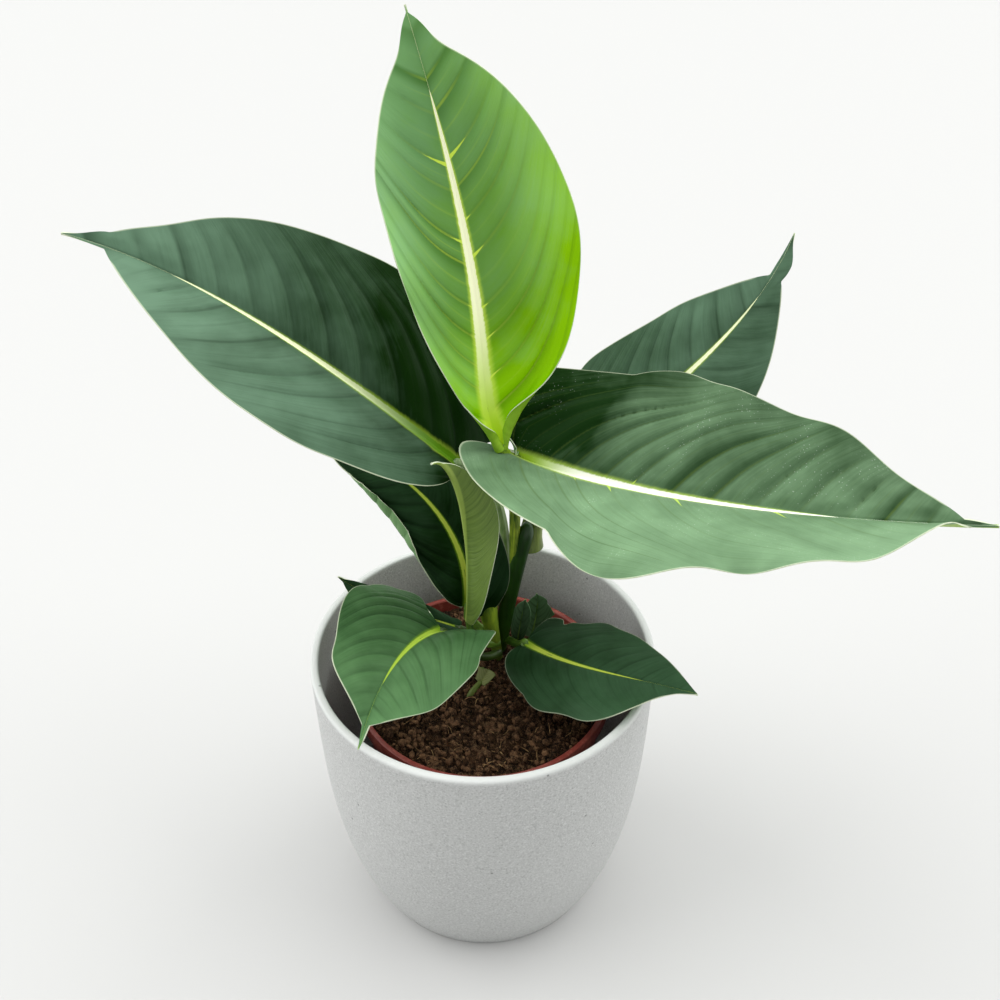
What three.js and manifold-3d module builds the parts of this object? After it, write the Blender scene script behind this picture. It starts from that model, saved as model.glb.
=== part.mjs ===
// A potted dieffenbachia: cover pot, nursery pot, potting mix, two canes and their leaves.
// Millimetres, +Z up. The origin is the centre of the cover pot's base, on the surface it stands on.
// The front of the plant faces -Y.

import * as THREE from 'three';
import { mergeVertices } from 'three/addons/utils/BufferGeometryUtils.js';
import Module from 'manifold-3d';

const wasm = await Module();
wasm.setup();

// ---------------------------------------------------------------- driving dimensions

const CLEARANCE = 0.3; // air kept between two pieces that touch

const POT = {
  height: 127,
  rimRadius: 68.6,
  baseRadius: 52.7,
  wall: 3.2,
  floor: 6,
  bulge: 3.6, // how early the wall turns upright on its way up
  lip: 1.6, // height of the rounded edge at the rim
  fillet: 7, // radius where the inner wall meets the floor
  levels: 7,
  crowding: 1.4, // how much closer the levels of the wall lie near its foot
  rimSteps: 6,
  filletSteps: 3,
  segments: 48,
};

const NURSERY = {
  rimRadius: 52.5,
  baseRadius: 38,
  rimHeight: 108,
  wall: 1.1,
  floor: 1.4,
  lipHeight: 7,
  lipStep: 1.1,
  lipEdge: 0.4, // bevel at the top of the rim band
  segments: 40,
  drainRadius: 4,
  drainSides: 12,
  drainRing: 25,
  drains: 5,
};

const MIX = {
  level: 102.6, // mean height of the surface above the table
  crown: 2.2, // how much higher the mix stands at the stems than at the rim
  crownCentre: [7, 16],
  crownReach: 24,
  clod: 0.825, // half the height of the broad lumps
  crumb: 0.5, // half the height of the small ones
  edge: 1, // width of the level strip along the nursery pot
  rings: 10,
  segments: 40,
};

const BLADE = {
  marginThickness: 0.62,
  middleThickness: 0.8,
  groove: 0.2, // how deep the midrib lies in the upper face
  ribRoot: 1.7, // how far the midrib stands out of the lower face at the base
  ribTip: 0.25,
  tailHalfWidth: 1.1,
  tailReach: 0.12, // share of the length over which the thin tail draws to its point
  tailSpan: [0.4, 0.8], // where the tail's own width sets in
  footReach: 0.1, // share of the length over which the blade leaves the petiole
  sweep: 0.12, // how far the side veins lean towards the tip, as a share of the length
  ribHold: 0.25, // how much of its own distance a row keeps along the midrib
  bend: [0.21, 0.52], // middle of a side vein's arc: along the leaf and towards the margin
  lobeReach: 0.22, // share of the length over which the base lobes swing back
  cupReach: 0.3, // share of the length over which a raised lobe flattens out
  veinFade: 8, // how fast the side veins sink into the blade near its tip
  baseHold: 0.08, // share of the length over which no swelling touches the base
  tipHold: 0.1, // and the tip
};

const TUBE_SIDES = 10;
const PETIOLE_LEAD = 6; // points along the free part of a petiole's curve

// ---------------------------------------------------------------- materials

/** A plain plant or pot surface. */
function surface(color, roughness) {
  return new THREE.MeshStandardMaterial({ color, roughness, metalness: 0 });
}

const MATERIALS = {
  stoneware: surface(0xb9bab8, 0.7),
  terracottaPlastic: surface(0x8c4a36, 0.55),
  coir: surface(0x4a2f20, 0.95),
  darkLeaf: surface(0x24503a, 0.42),
  youngLeaf: surface(0x6fa51c, 0.42),
  lowLeaf: surface(0x2c5a3c, 0.45),
  cane: surface(0x3f6a1e, 0.5),
  sheath: surface(0x8a9a3a, 0.5),
  driedBract: surface(0xa9a478, 0.8),
};

// ---------------------------------------------------------------- solids

/** Turns a closed three.js geometry into a solid that can be joined and cut. */
function solidFrom(geometry) {
  const bare = geometry.clone();
  bare.deleteAttribute('normal');
  bare.deleteAttribute('uv');
  const merged = mergeVertices(bare, 1e-5);
  const index = merged.index.array;
  const triangles = [];
  for (let i = 0; i < index.length; i += 3) {
    const [a, b, c] = [index[i], index[i + 1], index[i + 2]];
    if (a !== b && b !== c && c !== a) {
      triangles.push(a, b, c);
    }
  }
  return new wasm.Manifold(new wasm.Mesh({
    numProp: 3,
    vertProperties: new Float32Array(merged.attributes.position.array),
    triVerts: new Uint32Array(triangles),
  }));
}

/** Turns a solid back into a three.js geometry. */
function geometryFrom(solid) {
  const mesh = solid.getMesh();
  const geometry = new THREE.BufferGeometry();
  geometry.setAttribute('position', new THREE.BufferAttribute(new Float32Array(mesh.vertProperties), 3));
  geometry.setIndex(new THREE.BufferAttribute(new Uint32Array(mesh.triVerts), 1));
  geometry.computeVertexNormals();
  return geometry;
}

/** Adds one named sub-part to the plant. */
function addPiece(group, name, solid, material) {
  const mesh = new THREE.Mesh(geometryFrom(solid), material);
  mesh.name = name;
  group.add(mesh);
}

/** The body of revolution of a profile of [radius, height] pairs that starts and ends on the axis. */
function turned(profile, segments) {
  const points = profile.map(([radius, height]) => new THREE.Vector2(radius, height));
  const lathe = new THREE.LatheGeometry(points, segments);
  lathe.rotateX(Math.PI / 2);
  return lathe;
}

/** A smooth curve through or along a piece's points. */
function bezier(points) {
  return new THREE.CubicBezierCurve3(...points.map((p) => new THREE.Vector3(...p)));
}

/**
 * A closed tube along a curve whose radius runs from the first to the last value, the later the
 * greater its flare. With grow it is larger all round, as the cutter for the hole that the tube
 * stands in. Point is how far its far end runs out to a point.
 */
function taperedTube(curve, [startRadius, endRadius], steps, grow = 0, point = 0, flare = 1) {
  const rings = [];
  const frames = curve.computeFrenetFrames(steps, false);
  for (let i = 0; i <= steps; i += 1) {
    const t = i / steps;
    const centre = curve.getPointAt(t);
    const overrun = i === 0 ? -grow : (i === steps ? grow : 0);
    centre.addScaledVector(frames.tangents[i], overrun);
    const radius = THREE.MathUtils.lerp(startRadius, endRadius, t ** flare) + grow;
    const ring = [];
    for (let k = 0; k < TUBE_SIDES; k += 1) {
      const angle = (2 * Math.PI * k) / TUBE_SIDES;
      const corner = centre.clone();
      corner.addScaledVector(frames.normals[i], radius * Math.cos(angle));
      corner.addScaledVector(frames.binormals[i], radius * Math.sin(angle));
      ring.push(corner);
    }
    rings.push({ centre, ring });
  }
  rings[steps].centre.addScaledVector(frames.tangents[steps], point);
  return solidFrom(loftRings(rings));
}

/** Skins a row of rings and closes both ends with a fan. */
function loftRings(rings) {
  const positions = [];
  const index = [];
  const sides = rings[0].ring.length;
  for (const { ring } of rings) {
    ring.forEach((p) => positions.push(p.x, p.y, p.z));
  }
  for (let i = 0; i + 1 < rings.length; i += 1) {
    for (let k = 0; k < sides; k += 1) {
      const next = (k + 1) % sides;
      const [a, b] = [i * sides + k, i * sides + next];
      const [c, d] = [a + sides, b + sides];
      index.push(a, b, d, a, d, c);
    }
  }
  const first = rings.length * sides;
  const last = first + 1;
  const [head, foot] = [rings[0].centre, rings[rings.length - 1].centre];
  positions.push(head.x, head.y, head.z, foot.x, foot.y, foot.z);
  const lastRing = (rings.length - 1) * sides;
  for (let k = 0; k < sides; k += 1) {
    const next = (k + 1) % sides;
    index.push(first, next, k, last, lastRing + k, lastRing + next);
  }
  const geometry = new THREE.BufferGeometry();
  geometry.setAttribute('position', new THREE.Float32BufferAttribute(positions, 3));
  geometry.setIndex(index);
  return geometry;
}

// ---------------------------------------------------------------- leaves

/** The frame of a leaf at a distance along its midrib: place, direction, face normal and right side. */
function midribFrame(spec, curve, length, distance) {
  const share = THREE.MathUtils.clamp(distance / length, 0, 1);
  const along = curve.getTangentAt(share);
  const place = curve.getPointAt(share).addScaledVector(along, Math.min(distance, 0));
  const [atBase, atTip] = spec.face.map((v) => new THREE.Vector3(...v).normalize());
  const face = atBase.multiplyScalar(1 - share).addScaledVector(atTip, share).normalize();
  const normal = face.addScaledVector(along, -face.dot(along)).normalize();
  const right = new THREE.Vector3().crossVectors(along, normal);
  return { place, along, normal, right };
}

/** How far one side of a leaf bulges out of its plain outline at q, or draws in. */
function swelling(spec, side, q) {
  const sum = spec.swells.filter((swell) => swell.side === side).reduce(
    (total, { middle, amount, width }) => total + amount * Math.exp(-(((q - middle) / width) ** 2)),
    0,
  );
  const clearOfTip = 1 - THREE.MathUtils.smoothstep(q, 1 - BLADE.tipHold, 1);
  return sum * THREE.MathUtils.smoothstep(q, 0, BLADE.baseHold) * clearOfTip;
}

/** Half the width of a flat leaf at q, which runs from 0 at the base to 1 at the tip. */
function halfWidth(spec, side, q) {
  const { tail } = spec.outline;
  const rise = spec.outline.rise[side];
  const fall = spec.outline.fall[side];
  const body = THREE.MathUtils.clamp(q / (1 - tail), 0, 1);
  const fullest = rise / (rise + fall);
  const peak = fullest ** rise * (1 - fullest) ** fall;
  const form = (body ** rise * (1 - body) ** fall) / peak;
  const foot = spec.foot[side] * Math.max(1 - q / BLADE.footReach, 0);
  const draw = THREE.MathUtils.clamp((1 - q) / BLADE.tailReach, 0, 1) ** 0.6;
  const tip = BLADE.tailHalfWidth * draw * THREE.MathUtils.smoothstep(q, ...BLADE.tailSpan);
  return Math.max(spec.halfWidth[side] * form + swelling(spec, side, q), 0) + foot + tip;
}

/** The place of one point of a leaf's upper face; s runs from 0 at the midrib to 1 at the margin. */
function bladePoint(spec, curve, length, side, q, s, row) {
  const edge = halfWidth(spec, side, q);
  const swing = Math.sin(Math.PI * THREE.MathUtils.clamp(q / BLADE.lobeReach, 0, 1));
  const lobe = spec.lobe[side] * length * swing;
  const marginX = length * q - lobe;
  const [bendAlong, bendOut] = BLADE.bend;
  const ribX = length * Math.max(q - BLADE.sweep * Math.sin(Math.PI * q), q * BLADE.ribHold);
  const middleX = ribX + (marginX - ribX) * bendAlong;
  const fork = spec.notch * s * s * q * q;
  const x = (1 - s) ** 2 * ribX + 2 * (1 - s) * s * middleX + s * s * marginX + fork;
  const y = 2 * (1 - s) * s * edge * bendOut + s * s * edge;
  const frame = midribFrame(spec, curve, length, x);
  const share = y / spec.halfWidth[side];
  const cup = spec.cup[side] * Math.max(1 - q / BLADE.cupReach, 0) ** 2;
  const lift = THREE.MathUtils.degToRad(spec.fold[side] + spec.curl[side] * share * 0.5 + cup);
  const { height, count, phase } = spec.wave;
  const ripple = Math.sin(2 * Math.PI * (count * q + phase[side])) * Math.sin(Math.PI * q) ** 0.5;
  const pleat = row % 2 ? 1 : -1;
  const vein = spec.quilt * pleat * Math.sin(Math.PI * s) * Math.min(BLADE.veinFade * (1 - q), 1);
  const groove = s === 0 ? -BLADE.groove : 0;
  const rise = y * Math.sin(lift) + height[side] * s * s * ripple + vein + groove;
  const point = frame.place.clone();
  point.addScaledVector(frame.right, (side ? 1 : -1) * y * Math.cos(lift));
  point.addScaledVector(frame.normal, rise);
  return point;
}

/** The upper face of a leaf as rows of points from the left margin over the midrib to the right one. */
function upperFace(spec, curve, length) {
  const grid = [];
  for (let i = 0; i < spec.rows; i += 1) {
    const q = i / spec.rows;
    const row = [];
    for (let j = -spec.columns; j <= spec.columns; j += 1) {
      row.push(bladePoint(spec, curve, length, j > 0 ? 1 : 0, q, Math.abs(j) / spec.columns, i));
    }
    grid.push(row);
  }
  return grid;
}

/** The lower face: each point of the upper one moved down its own normal by the thickness there. */
function lowerFace(spec, curve, length, upper) {
  const clampRow = (i) => THREE.MathUtils.clamp(i, 0, upper.length - 1);
  const clampColumn = (j) => THREE.MathUtils.clamp(j, 0, upper[0].length - 1);
  return upper.map((row, i) => row.map((point, j) => {
    const along = new THREE.Vector3().subVectors(upper[clampRow(i + 1)][j], upper[clampRow(i - 1)][j]);
    const across = new THREE.Vector3().subVectors(row[clampColumn(j + 1)], row[clampColumn(j - 1)]);
    const outward = new THREE.Vector3().crossVectors(across, along).normalize();
    const s = Math.abs(j - spec.columns) / spec.columns;
    const q = i / spec.rows;
    const skin = THREE.MathUtils.lerp(BLADE.middleThickness, BLADE.marginThickness, s);
    const rib = s === 0 ? THREE.MathUtils.lerp(BLADE.ribRoot, BLADE.ribTip, q) * spec.ribScale : 0;
    return point.clone().addScaledVector(outward, -(skin + rib));
  }));
}

/** Joins both faces of a leaf at the margins, the base and the tip into one closed blade. */
function closedBlade(upper, lower, tipTop, tipBottom) {
  const positions = [];
  const index = [];
  const columns = upper[0].length;
  const rows = upper.length;
  for (const face of [upper, lower]) {
    face.flat().forEach((p) => positions.push(p.x, p.y, p.z));
  }
  const top = (i, j) => i * columns + j;
  const under = (i, j) => rows * columns + i * columns + j;
  const topTip = 2 * rows * columns;
  const underTip = topTip + 1;
  positions.push(tipTop.x, tipTop.y, tipTop.z, tipBottom.x, tipBottom.y, tipBottom.z);
  for (let i = 0; i + 1 < rows; i += 1) {
    for (let j = 0; j + 1 < columns; j += 1) {
      index.push(top(i, j), top(i, j + 1), top(i + 1, j + 1), top(i, j), top(i + 1, j + 1), top(i + 1, j));
      index.push(under(i, j), under(i + 1, j + 1), under(i, j + 1));
      index.push(under(i, j), under(i + 1, j), under(i + 1, j + 1));
    }
    for (const [j, flip] of [[0, false], [columns - 1, true]]) {
      const [a, b, c, d] = [top(i, j), top(i + 1, j), under(i + 1, j), under(i, j)];
      index.push(...(flip ? [a, c, b, a, d, c] : [a, b, c, a, c, d]));
    }
  }
  for (let j = 0; j + 1 < columns; j += 1) {
    const last = rows - 1;
    index.push(top(last, j), top(last, j + 1), topTip);
    index.push(under(last, j), underTip, under(last, j + 1));
    index.push(top(0, j), under(0, j), under(0, j + 1), top(0, j), under(0, j + 1), top(0, j + 1));
  }
  const end = rows - 1;
  index.push(top(end, 0), topTip, underTip, top(end, 0), underTip, under(end, 0));
  const far = columns - 1;
  index.push(top(end, far), underTip, topTip, top(end, far), under(end, far), underTip);
  const geometry = new THREE.BufferGeometry();
  geometry.setAttribute('position', new THREE.Float32BufferAttribute(positions, 3));
  geometry.setIndex(index);
  return geometry;
}

/** The blade of a leaf, without its petiole. */
function bladeSolid(spec) {
  const curve = bezier(spec.spine);
  const length = curve.getLength();
  const upper = upperFace(spec, curve, length);
  const lower = lowerFace(spec, curve, length, upper);
  const tip = midribFrame(spec, curve, length, length);
  const tipBottom = tip.place.clone().addScaledVector(tip.normal, -BLADE.marginThickness);
  return solidFrom(closedBlade(upper, lower, tip.place, tipBottom));
}

/** The petiole, which runs on for a short way under the midrib. */
function petioleSolid(spec, grow = 0) {
  const blade = bezier(spec.spine);
  const frame = midribFrame(spec, blade, blade.getLength(), spec.run);
  const end = frame.place.addScaledVector(frame.normal, -spec.petioleRadius[1] * 0.8);
  const lead = bezier(spec.petiole);
  const points = lead.getPoints(PETIOLE_LEAD);
  points.push(end);
  const curve = new THREE.CatmullRomCurve3(points, false, 'centripetal');
  return taperedTube(curve, spec.petioleRadius, spec.petioleSteps, grow);
}

/** A place where one side of a leaf bulges out of its plain outline, or draws in if below 0. */
function swell(side, middle, amount, width = 0.1) {
  return { side, middle, amount, width };
}

/** Everything a leaf needs that is alike on most of them. */
const LEAF_DEFAULTS = {
  petioleRadius: [2.3, 1.7],
  petioleSteps: 8,
  cup: [0, 0],
  wave: { height: [0.9, 0.9], count: 3, phase: [0, 0.35] },
  swells: [],
  foot: [2, 2], // half the width at the very base
  notch: 0, // how far the two margins run on past the midrib at a forked tip
  rows: 20,
  columns: 4,
  quilt: 0.32,
  ribScale: 1,
  run: 5, // how far the petiole runs on under the blade
  rooted: false, // whether the petiole stands in the mix by itself
  material: MATERIALS.darkLeaf,
};

const LEAVES = [
  {
    name: 'leaf_upright',
    nestsIn: 'leaf_right', // the youngest petiole stands in the sheath of the one before
    petiole: [[12, 21.5, 177], [11, 22.5, 191], [14, 13, 204.5], [7, 12.2, 211.5]],
    petioleRadius: [1.7, 1.8],
    spine: [[7, 12.2, 211.5], [-4.5, 15.5, 237], [8.7, 24, 250], [-21, 30, 352]],
    face: [[0.4, -0.85, 0.32], [-0.14, -0.87, 0.47]],
    halfWidth: [27, 37],
    outline: { rise: [1.03, 0.92], fall: [0.91, 0.92], tail: 0.015 },
    lobe: [0, 0],
    fold: [22, 20],
    curl: [10, 2],
    cup: [60, 60],
    wave: { height: [2.2, 1.4], count: 3.5, phase: [0.44, 0.42] },
    swells: [
      swell(0, 0.94, -3, 0.07),
      swell(0, 0.7, 1.5, 0.07),
      swell(1, 0.94, -4.5, 0.07),
    ],
    rows: 22,
    material: MATERIALS.youngLeaf,
  },
  {
    name: 'leaf_left',
    petiole: [[8.5, 21.5, 128], [9.5, 24.5, 150], [11.7, 27.5, 188], [-9, 16, 202.5]],
    petioleRadius: [2.6, 1.9],
    spine: [[-9, 16, 202.5], [-50, 16, 241], [-93, 23, 275], [-138, 28, 285]],
    face: [[0.08, -0.3, 0.95], [-0.21, -0.6, 0.77]],
    halfWidth: [40.6, 45],
    outline: { rise: [0.54, 0.67], fall: [0.91, 1.13], tail: 0.096 },
    lobe: [0, 0.2],
    fold: [24, 18],
    curl: [-7, -10],
    wave: { height: [1, 1], count: 3, phase: [0, 0.3] },
    swells: [
      swell(0, 0.25, -3.5),
      swell(1, 0.72, 2.3),
      swell(1, 0.9, 3.8),
    ],
  },
  {
    name: 'leaf_right',
    petiole: [[12.8, 20.2, 145], [12.6, 18.7, 160], [12.2, 19, 198], [13, 13, 207]],
    petioleRadius: [2.1, 2.3],
    spine: [[13, 13, 207], [63, -19, 207], [109, -42, 219], [160, -45, 219]],
    face: [[-0.07, -0.75, 0.65], [0.08, -0.32, 0.94]],
    halfWidth: [42.9, 50],
    outline: { rise: [0.74, 1.17], fall: [0.99, 1.05], tail: 0.067 },
    lobe: [0.3, 0.213],
    foot: [4, 2],
    fold: [15, 50],
    curl: [-22, -18],
    cup: [30, 62],
    wave: { height: [3, 5], count: 4.4, phase: [0.13, 0.4] },
    swells: [
      swell(0, 0.08, -1.4, 0.07),
      swell(0, 0.2, 2, 0.07),
      swell(0, 0.33, 3.6, 0.07),
      swell(0, 0.5, -2.5, 0.07),
      swell(1, 0.1, -3, 0.08),
      swell(1, 0.2, 7, 0.08),
      swell(1, 0.3, 7, 0.08),
      swell(1, 0.42, 7, 0.08),
      swell(1, 0.5, -9.5, 0.07),
      swell(1, 0.9, -2.6, 0.07),
    ],
    rows: 24,
  },
  {
    name: 'leaf_back',
    petiole: [[19.3, 23.3, 158], [17.5, 23.2, 175], [27, 28.5, 183], [36, 34, 184]],
    petioleRadius: [5, 2.2],
    spine: [[36, 34, 184], [68, 52, 211], [106, 62, 233], [121, 82, 266]],
    face: [[-0.15, -0.69, 0.71], [0.13, -0.75, 0.65]],
    halfWidth: [28.5, 32],
    outline: { rise: [0.58, 0.52], fall: [0.83, 0.91], tail: 0.145 },
    lobe: [0.05, 0.05],
    fold: [7, 8],
    curl: [-16, -15],
    swells: [
      swell(0, 0.25, 3.3),
      swell(0, 0.5, -1.3),
      swell(0, 0.72, -1),
      swell(1, 0.9, 3.6),
    ],
  },
  {
    name: 'leaf_inner_left',
    petiole: [[5, 20, 112], [-1, 21.5, 114], [-6.5, 23, 117], [-7, 22, 127]],
    petioleRadius: [1.9, 1.5],
    spine: [[-7, 22, 127], [-5, 35, 156], [-27, 48, 180], [-69, 52, 193]],
    face: [[0.31, -0.88, 0.35], [-0.29, -0.81, 0.52]],
    halfWidth: [20, 20],
    outline: { rise: [0.68, 0.68], fall: [0.95, 0.95], tail: 0.02 },
    lobe: [0.03, 0.03],
    fold: [7, 8],
    curl: [-16, -15],
  },
  {
    name: 'leaf_folded',
    petiole: [[6, 15, 113], [0, 11, 114.5], [-5.5, 9.5, 119], [-6, 12, 128.5]],
    petioleRadius: [1.9, 1.4],
    spine: [[-6, 12, 128.5], [-3.5, 11.5, 171], [-7.5, -2, 218.5], [-16, -13.5, 221.5]],
    face: [[0.62, -0.78, 0], [0.1, 0.3, 0.83]],
    halfWidth: [16.5, 17],
    outline: { rise: [0.7, 0.48], fall: [1.15, 1.15], tail: 0.06 },
    lobe: [0, 0],
    fold: [64, 40],
    curl: [7, -4],
    cup: [0, -22],
    swells: [swell(1, 0.45, -2.5, 0.15)],
    wave: { height: [0.5, 0.5], count: 2, phase: [0, 0.35] },
    quilt: 0.2,
    ribScale: 0.6,
  },
  {
    name: 'leaf_low_left',
    petiole: [[6.5, 14, 108.6], [-3, 4, 109], [-10, 7, 122], [-16, 2, 132]],
    petioleRadius: [2, 1.5],
    petioleSteps: 10,
    spine: [[-16, 2, 132], [-28, -14, 145], [-38, -35, 143], [-42, -60, 134]],
    face: [[-0.08, 0.08, 0.99], [0.3, -0.55, 0.75]],
    halfWidth: [29, 31.2],
    outline: { rise: [0.56, 0.58], fall: [0.82, 1.1], tail: 0.126 },
    lobe: [0.189, 0.218],
    fold: [20, 27],
    curl: [-20, -10],
    wave: { height: [1.2, 1.2], count: 2.5, phase: [0.1, 0.45] },
    swells: [
      swell(0, 0.7, 1.7),
      swell(1, 0.7, 5),
    ],
    rows: 18,
    material: MATERIALS.lowLeaf,
  },
  {
    name: 'leaf_low_right',
    petiole: [[8, 20.5, 110], [13.5, 17, 112], [13, 11, 114], [17, 8, 120]],
    petioleRadius: [1.9, 1.5],
    spine: [[17, 8, 120], [34, -13, 125], [57, -26, 135], [78, -39, 139]],
    face: [[-0.03, -0.39, 0.92], [0.1, -0.08, 0.99]],
    halfWidth: [25.7, 26.4],
    outline: { rise: [0.64, 1.06], fall: [1.2, 1.53], tail: 0 },
    lobe: [0.079, 0.098],
    fold: [8, 11],
    curl: [-26, -28],
    wave: { height: [0.8, 0.8], count: 2.5, phase: [0.1, 0.45] },
    swells: [
      swell(0, 0.2, -4),
      swell(0, 0.45, -2.4),
      swell(1, 0.45, -3.3),
      swell(1, 0.7, 1.9),
      swell(1, 0.9, -1.8),
    ],
    rows: 18,
    material: MATERIALS.lowLeaf,
  },
  {
    name: 'leaf_low_back_left',
    petiole: [[4, 21, 107.2], [0, 22, 108.7], [-6, 23.3, 111], [-10, 23.5, 113.5]],
    petioleRadius: [1.6, 1.1],
    petioleSteps: 6,
    spine: [[-10, 23.5, 113.5], [-25, 22, 121], [-45, 19, 132], [-59, 19, 145.5]],
    face: [[0, -0.5, 0.85], [0.1, -0.6, 0.8]],
    halfWidth: [10, 5],
    outline: { rise: [0.6, 0.6], fall: [0.95, 0.95], tail: 0.05 },
    lobe: [0.02, 0.02],
    fold: [12, 12],
    curl: [-15, -15],
    rows: 14,
    columns: 3,
    quilt: 0.2,
    ribScale: 0.6,
  },
  {
    name: 'leaf_small_back',
    petiole: [[14, 20, 96], [14, 20, 100], [14, 20, 104], [14.2, 20, 107]],
    petioleRadius: [1.2, 0.9],
    petioleSteps: 4,
    spine: [[14.2, 20, 107], [14.6, 20.5, 114], [16, 22, 122], [17.5, 24, 129]],
    face: [[-0.3, -0.9, 0.3], [-0.2, -0.9, 0.3]],
    halfWidth: [3.8, 4],
    outline: { rise: [0.8, 0.8], fall: [0.7, 0.7], tail: 0.04 },
    lobe: [0, 0],
    fold: [25, 25],
    curl: [0, 0],
    wave: { height: [0.2, 0.2], count: 1.5, phase: [0, 0.35] },
    rows: 8,
    columns: 2,
    quilt: 0,
    ribScale: 0.3,
    rooted: true,
    material: MATERIALS.lowLeaf,
  },
  {
    name: 'leaf_small_right',
    petiole: [[20.2, 24.5, 96], [20.2, 24.5, 100], [20.2, 24.5, 104], [20.5, 25, 107]],
    petioleRadius: [1.3, 1],
    petioleSteps: 4,
    spine: [[20.5, 25, 107], [22, 27, 114], [23.5, 28.5, 121], [22.5, 30, 127]],
    face: [[0.1, -0.9, 0.4], [-0.1, -0.9, 0.4]],
    halfWidth: [5.5, 6.2],
    outline: { rise: [0.6, 0.6], fall: [0.7, 0.6], tail: 0.04 },
    lobe: [0, 0],
    fold: [15, 15],
    curl: [0, 0],
    wave: { height: [0.3, 0.3], count: 1.5, phase: [0, 0.35] },
    rows: 8,
    columns: 2,
    quilt: 0,
    ribScale: 0.3,
    rooted: true,
  },
  {
    name: 'bract_dried',
    petiole: [[-7, -7, 97], [-6.5, -6.5, 102.5], [-4.5, -4.5, 104.2], [-1.5, -1.5, 105.9]],
    petioleRadius: [1.6, 1.5],
    petioleSteps: 4,
    spine: [[-1.5, -1.5, 105.9], [0, 0, 106.7], [1, 1.5, 107.7], [1.8, 2.6, 109.2]],
    face: [[-0.3, -0.6, 0.75], [-0.3, -0.7, 0.6]],
    halfWidth: [3.4, 3.8],
    outline: { rise: [0.35, 0.35], fall: [0.5, 0.5], tail: -0.3 },
    lobe: [0, 0],
    fold: [25, 25],
    curl: [0, 0],
    notch: 2.5,
    wave: { height: [0.1, 0.1], count: 1.5, phase: [0, 0.35] },
    rows: 6,
    columns: 2,
    quilt: 0,
    ribScale: 0.3,
    run: 1,
    rooted: true,
    material: MATERIALS.driedBract,
  },
];

// ---------------------------------------------------------------- pots and mix

/** The outer radius of the cover pot at a height. */
function potRadius(height) {
  const fall = (1 - height / POT.height) ** POT.bulge;
  return POT.baseRadius + (POT.rimRadius - POT.baseRadius) * (1 - fall);
}

/** The cover pot: a bulging cup with a rounded rim, standing on a full flat base. */
function coverPot() {
  const top = POT.height - POT.lip;
  const outer = [];
  const inner = [];
  for (let i = 0; i <= POT.levels; i += 1) {
    const share = (i / POT.levels) ** POT.crowding;
    outer.push([potRadius(share * top), share * top]);
    const height = POT.floor + POT.fillet + share * (top - POT.floor - POT.fillet);
    inner.unshift([potRadius(height) - POT.wall, height]);
  }
  const middle = POT.rimRadius - POT.wall / 2;
  const rim = [];
  for (let k = 1; k < POT.rimSteps; k += 1) {
    const angle = (Math.PI * k) / POT.rimSteps;
    rim.push([middle + (POT.wall / 2) * Math.cos(angle), top + POT.lip * Math.sin(angle)]);
  }
  const fillet = [];
  const [wallRadius] = inner[inner.length - 1];
  for (let k = 1; k <= POT.filletSteps; k += 1) {
    const angle = (Math.PI / 2) * (k / POT.filletSteps);
    fillet.push([
      wallRadius - POT.fillet * (1 - Math.cos(angle)),
      POT.floor + POT.fillet * (1 - Math.sin(angle)),
    ]);
  }
  return solidFrom(turned([[0, 0], ...outer, ...rim, ...inner, ...fillet, [0, POT.floor]], POT.segments));
}

const NURSERY_BASE = POT.floor + CLEARANCE;

/** The outer radius of the nursery pot's wall at a height, without its lip. */
function nurseryRadius(height) {
  const share = (height - NURSERY_BASE) / (NURSERY.rimHeight - NURSERY_BASE);
  const body = NURSERY.rimRadius - NURSERY.lipStep;
  return THREE.MathUtils.lerp(NURSERY.baseRadius, body, share);
}

/** The thin grower's pot, with its thicker rim band and its drain holes. */
function nurseryPot() {
  const lipFoot = NURSERY.rimHeight - NURSERY.lipHeight;
  const inside = NURSERY_BASE + NURSERY.floor;
  const profile = [
    [0, NURSERY_BASE],
    [NURSERY.baseRadius, NURSERY_BASE],
    [nurseryRadius(lipFoot), lipFoot],
    [NURSERY.rimRadius - NURSERY.lipEdge / 2, lipFoot + NURSERY.lipStep],
    [NURSERY.rimRadius, NURSERY.rimHeight - NURSERY.lipEdge],
    [NURSERY.rimRadius - NURSERY.lipEdge, NURSERY.rimHeight],
    [nurseryRadius(NURSERY.rimHeight) - NURSERY.wall, NURSERY.rimHeight],
    [nurseryRadius(inside) - NURSERY.wall, inside],
    [0, inside],
  ];
  let pot = solidFrom(turned(profile, NURSERY.segments));
  for (let k = 0; k < NURSERY.drains; k += 1) {
    const angle = (2 * Math.PI * k) / NURSERY.drains;
    const { drainRadius, drainSides, floor } = NURSERY;
    const drill = new THREE.CylinderGeometry(drainRadius, drainRadius, 4 * floor, drainSides);
    drill.rotateX(Math.PI / 2);
    drill.translate(NURSERY.drainRing * Math.cos(angle), NURSERY.drainRing * Math.sin(angle), inside);
    pot = pot.subtract(solidFrom(drill));
  }
  return pot;
}

/** The lie of the crumbly surface of the mix. */
function mixHeight(x, y) {
  const [centreX, centreY] = MIX.crownCentre;
  const distance = Math.hypot(x - centreX, y - centreY);
  const mound = MIX.crown * Math.exp(-((distance / MIX.crownReach) ** 2));
  const clods = Math.sin(0.31 * x + 1.3) * Math.cos(0.27 * y - 0.4) + 0.6 * Math.sin(0.62 * x - 0.45 * y);
  const crumbs = Math.sin(1.9 * x + 0.7 * y) * Math.cos(1.7 * y - 0.9 * x);
  return MIX.level + mound + MIX.clod * clods + MIX.crumb * crumbs;
}

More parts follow.
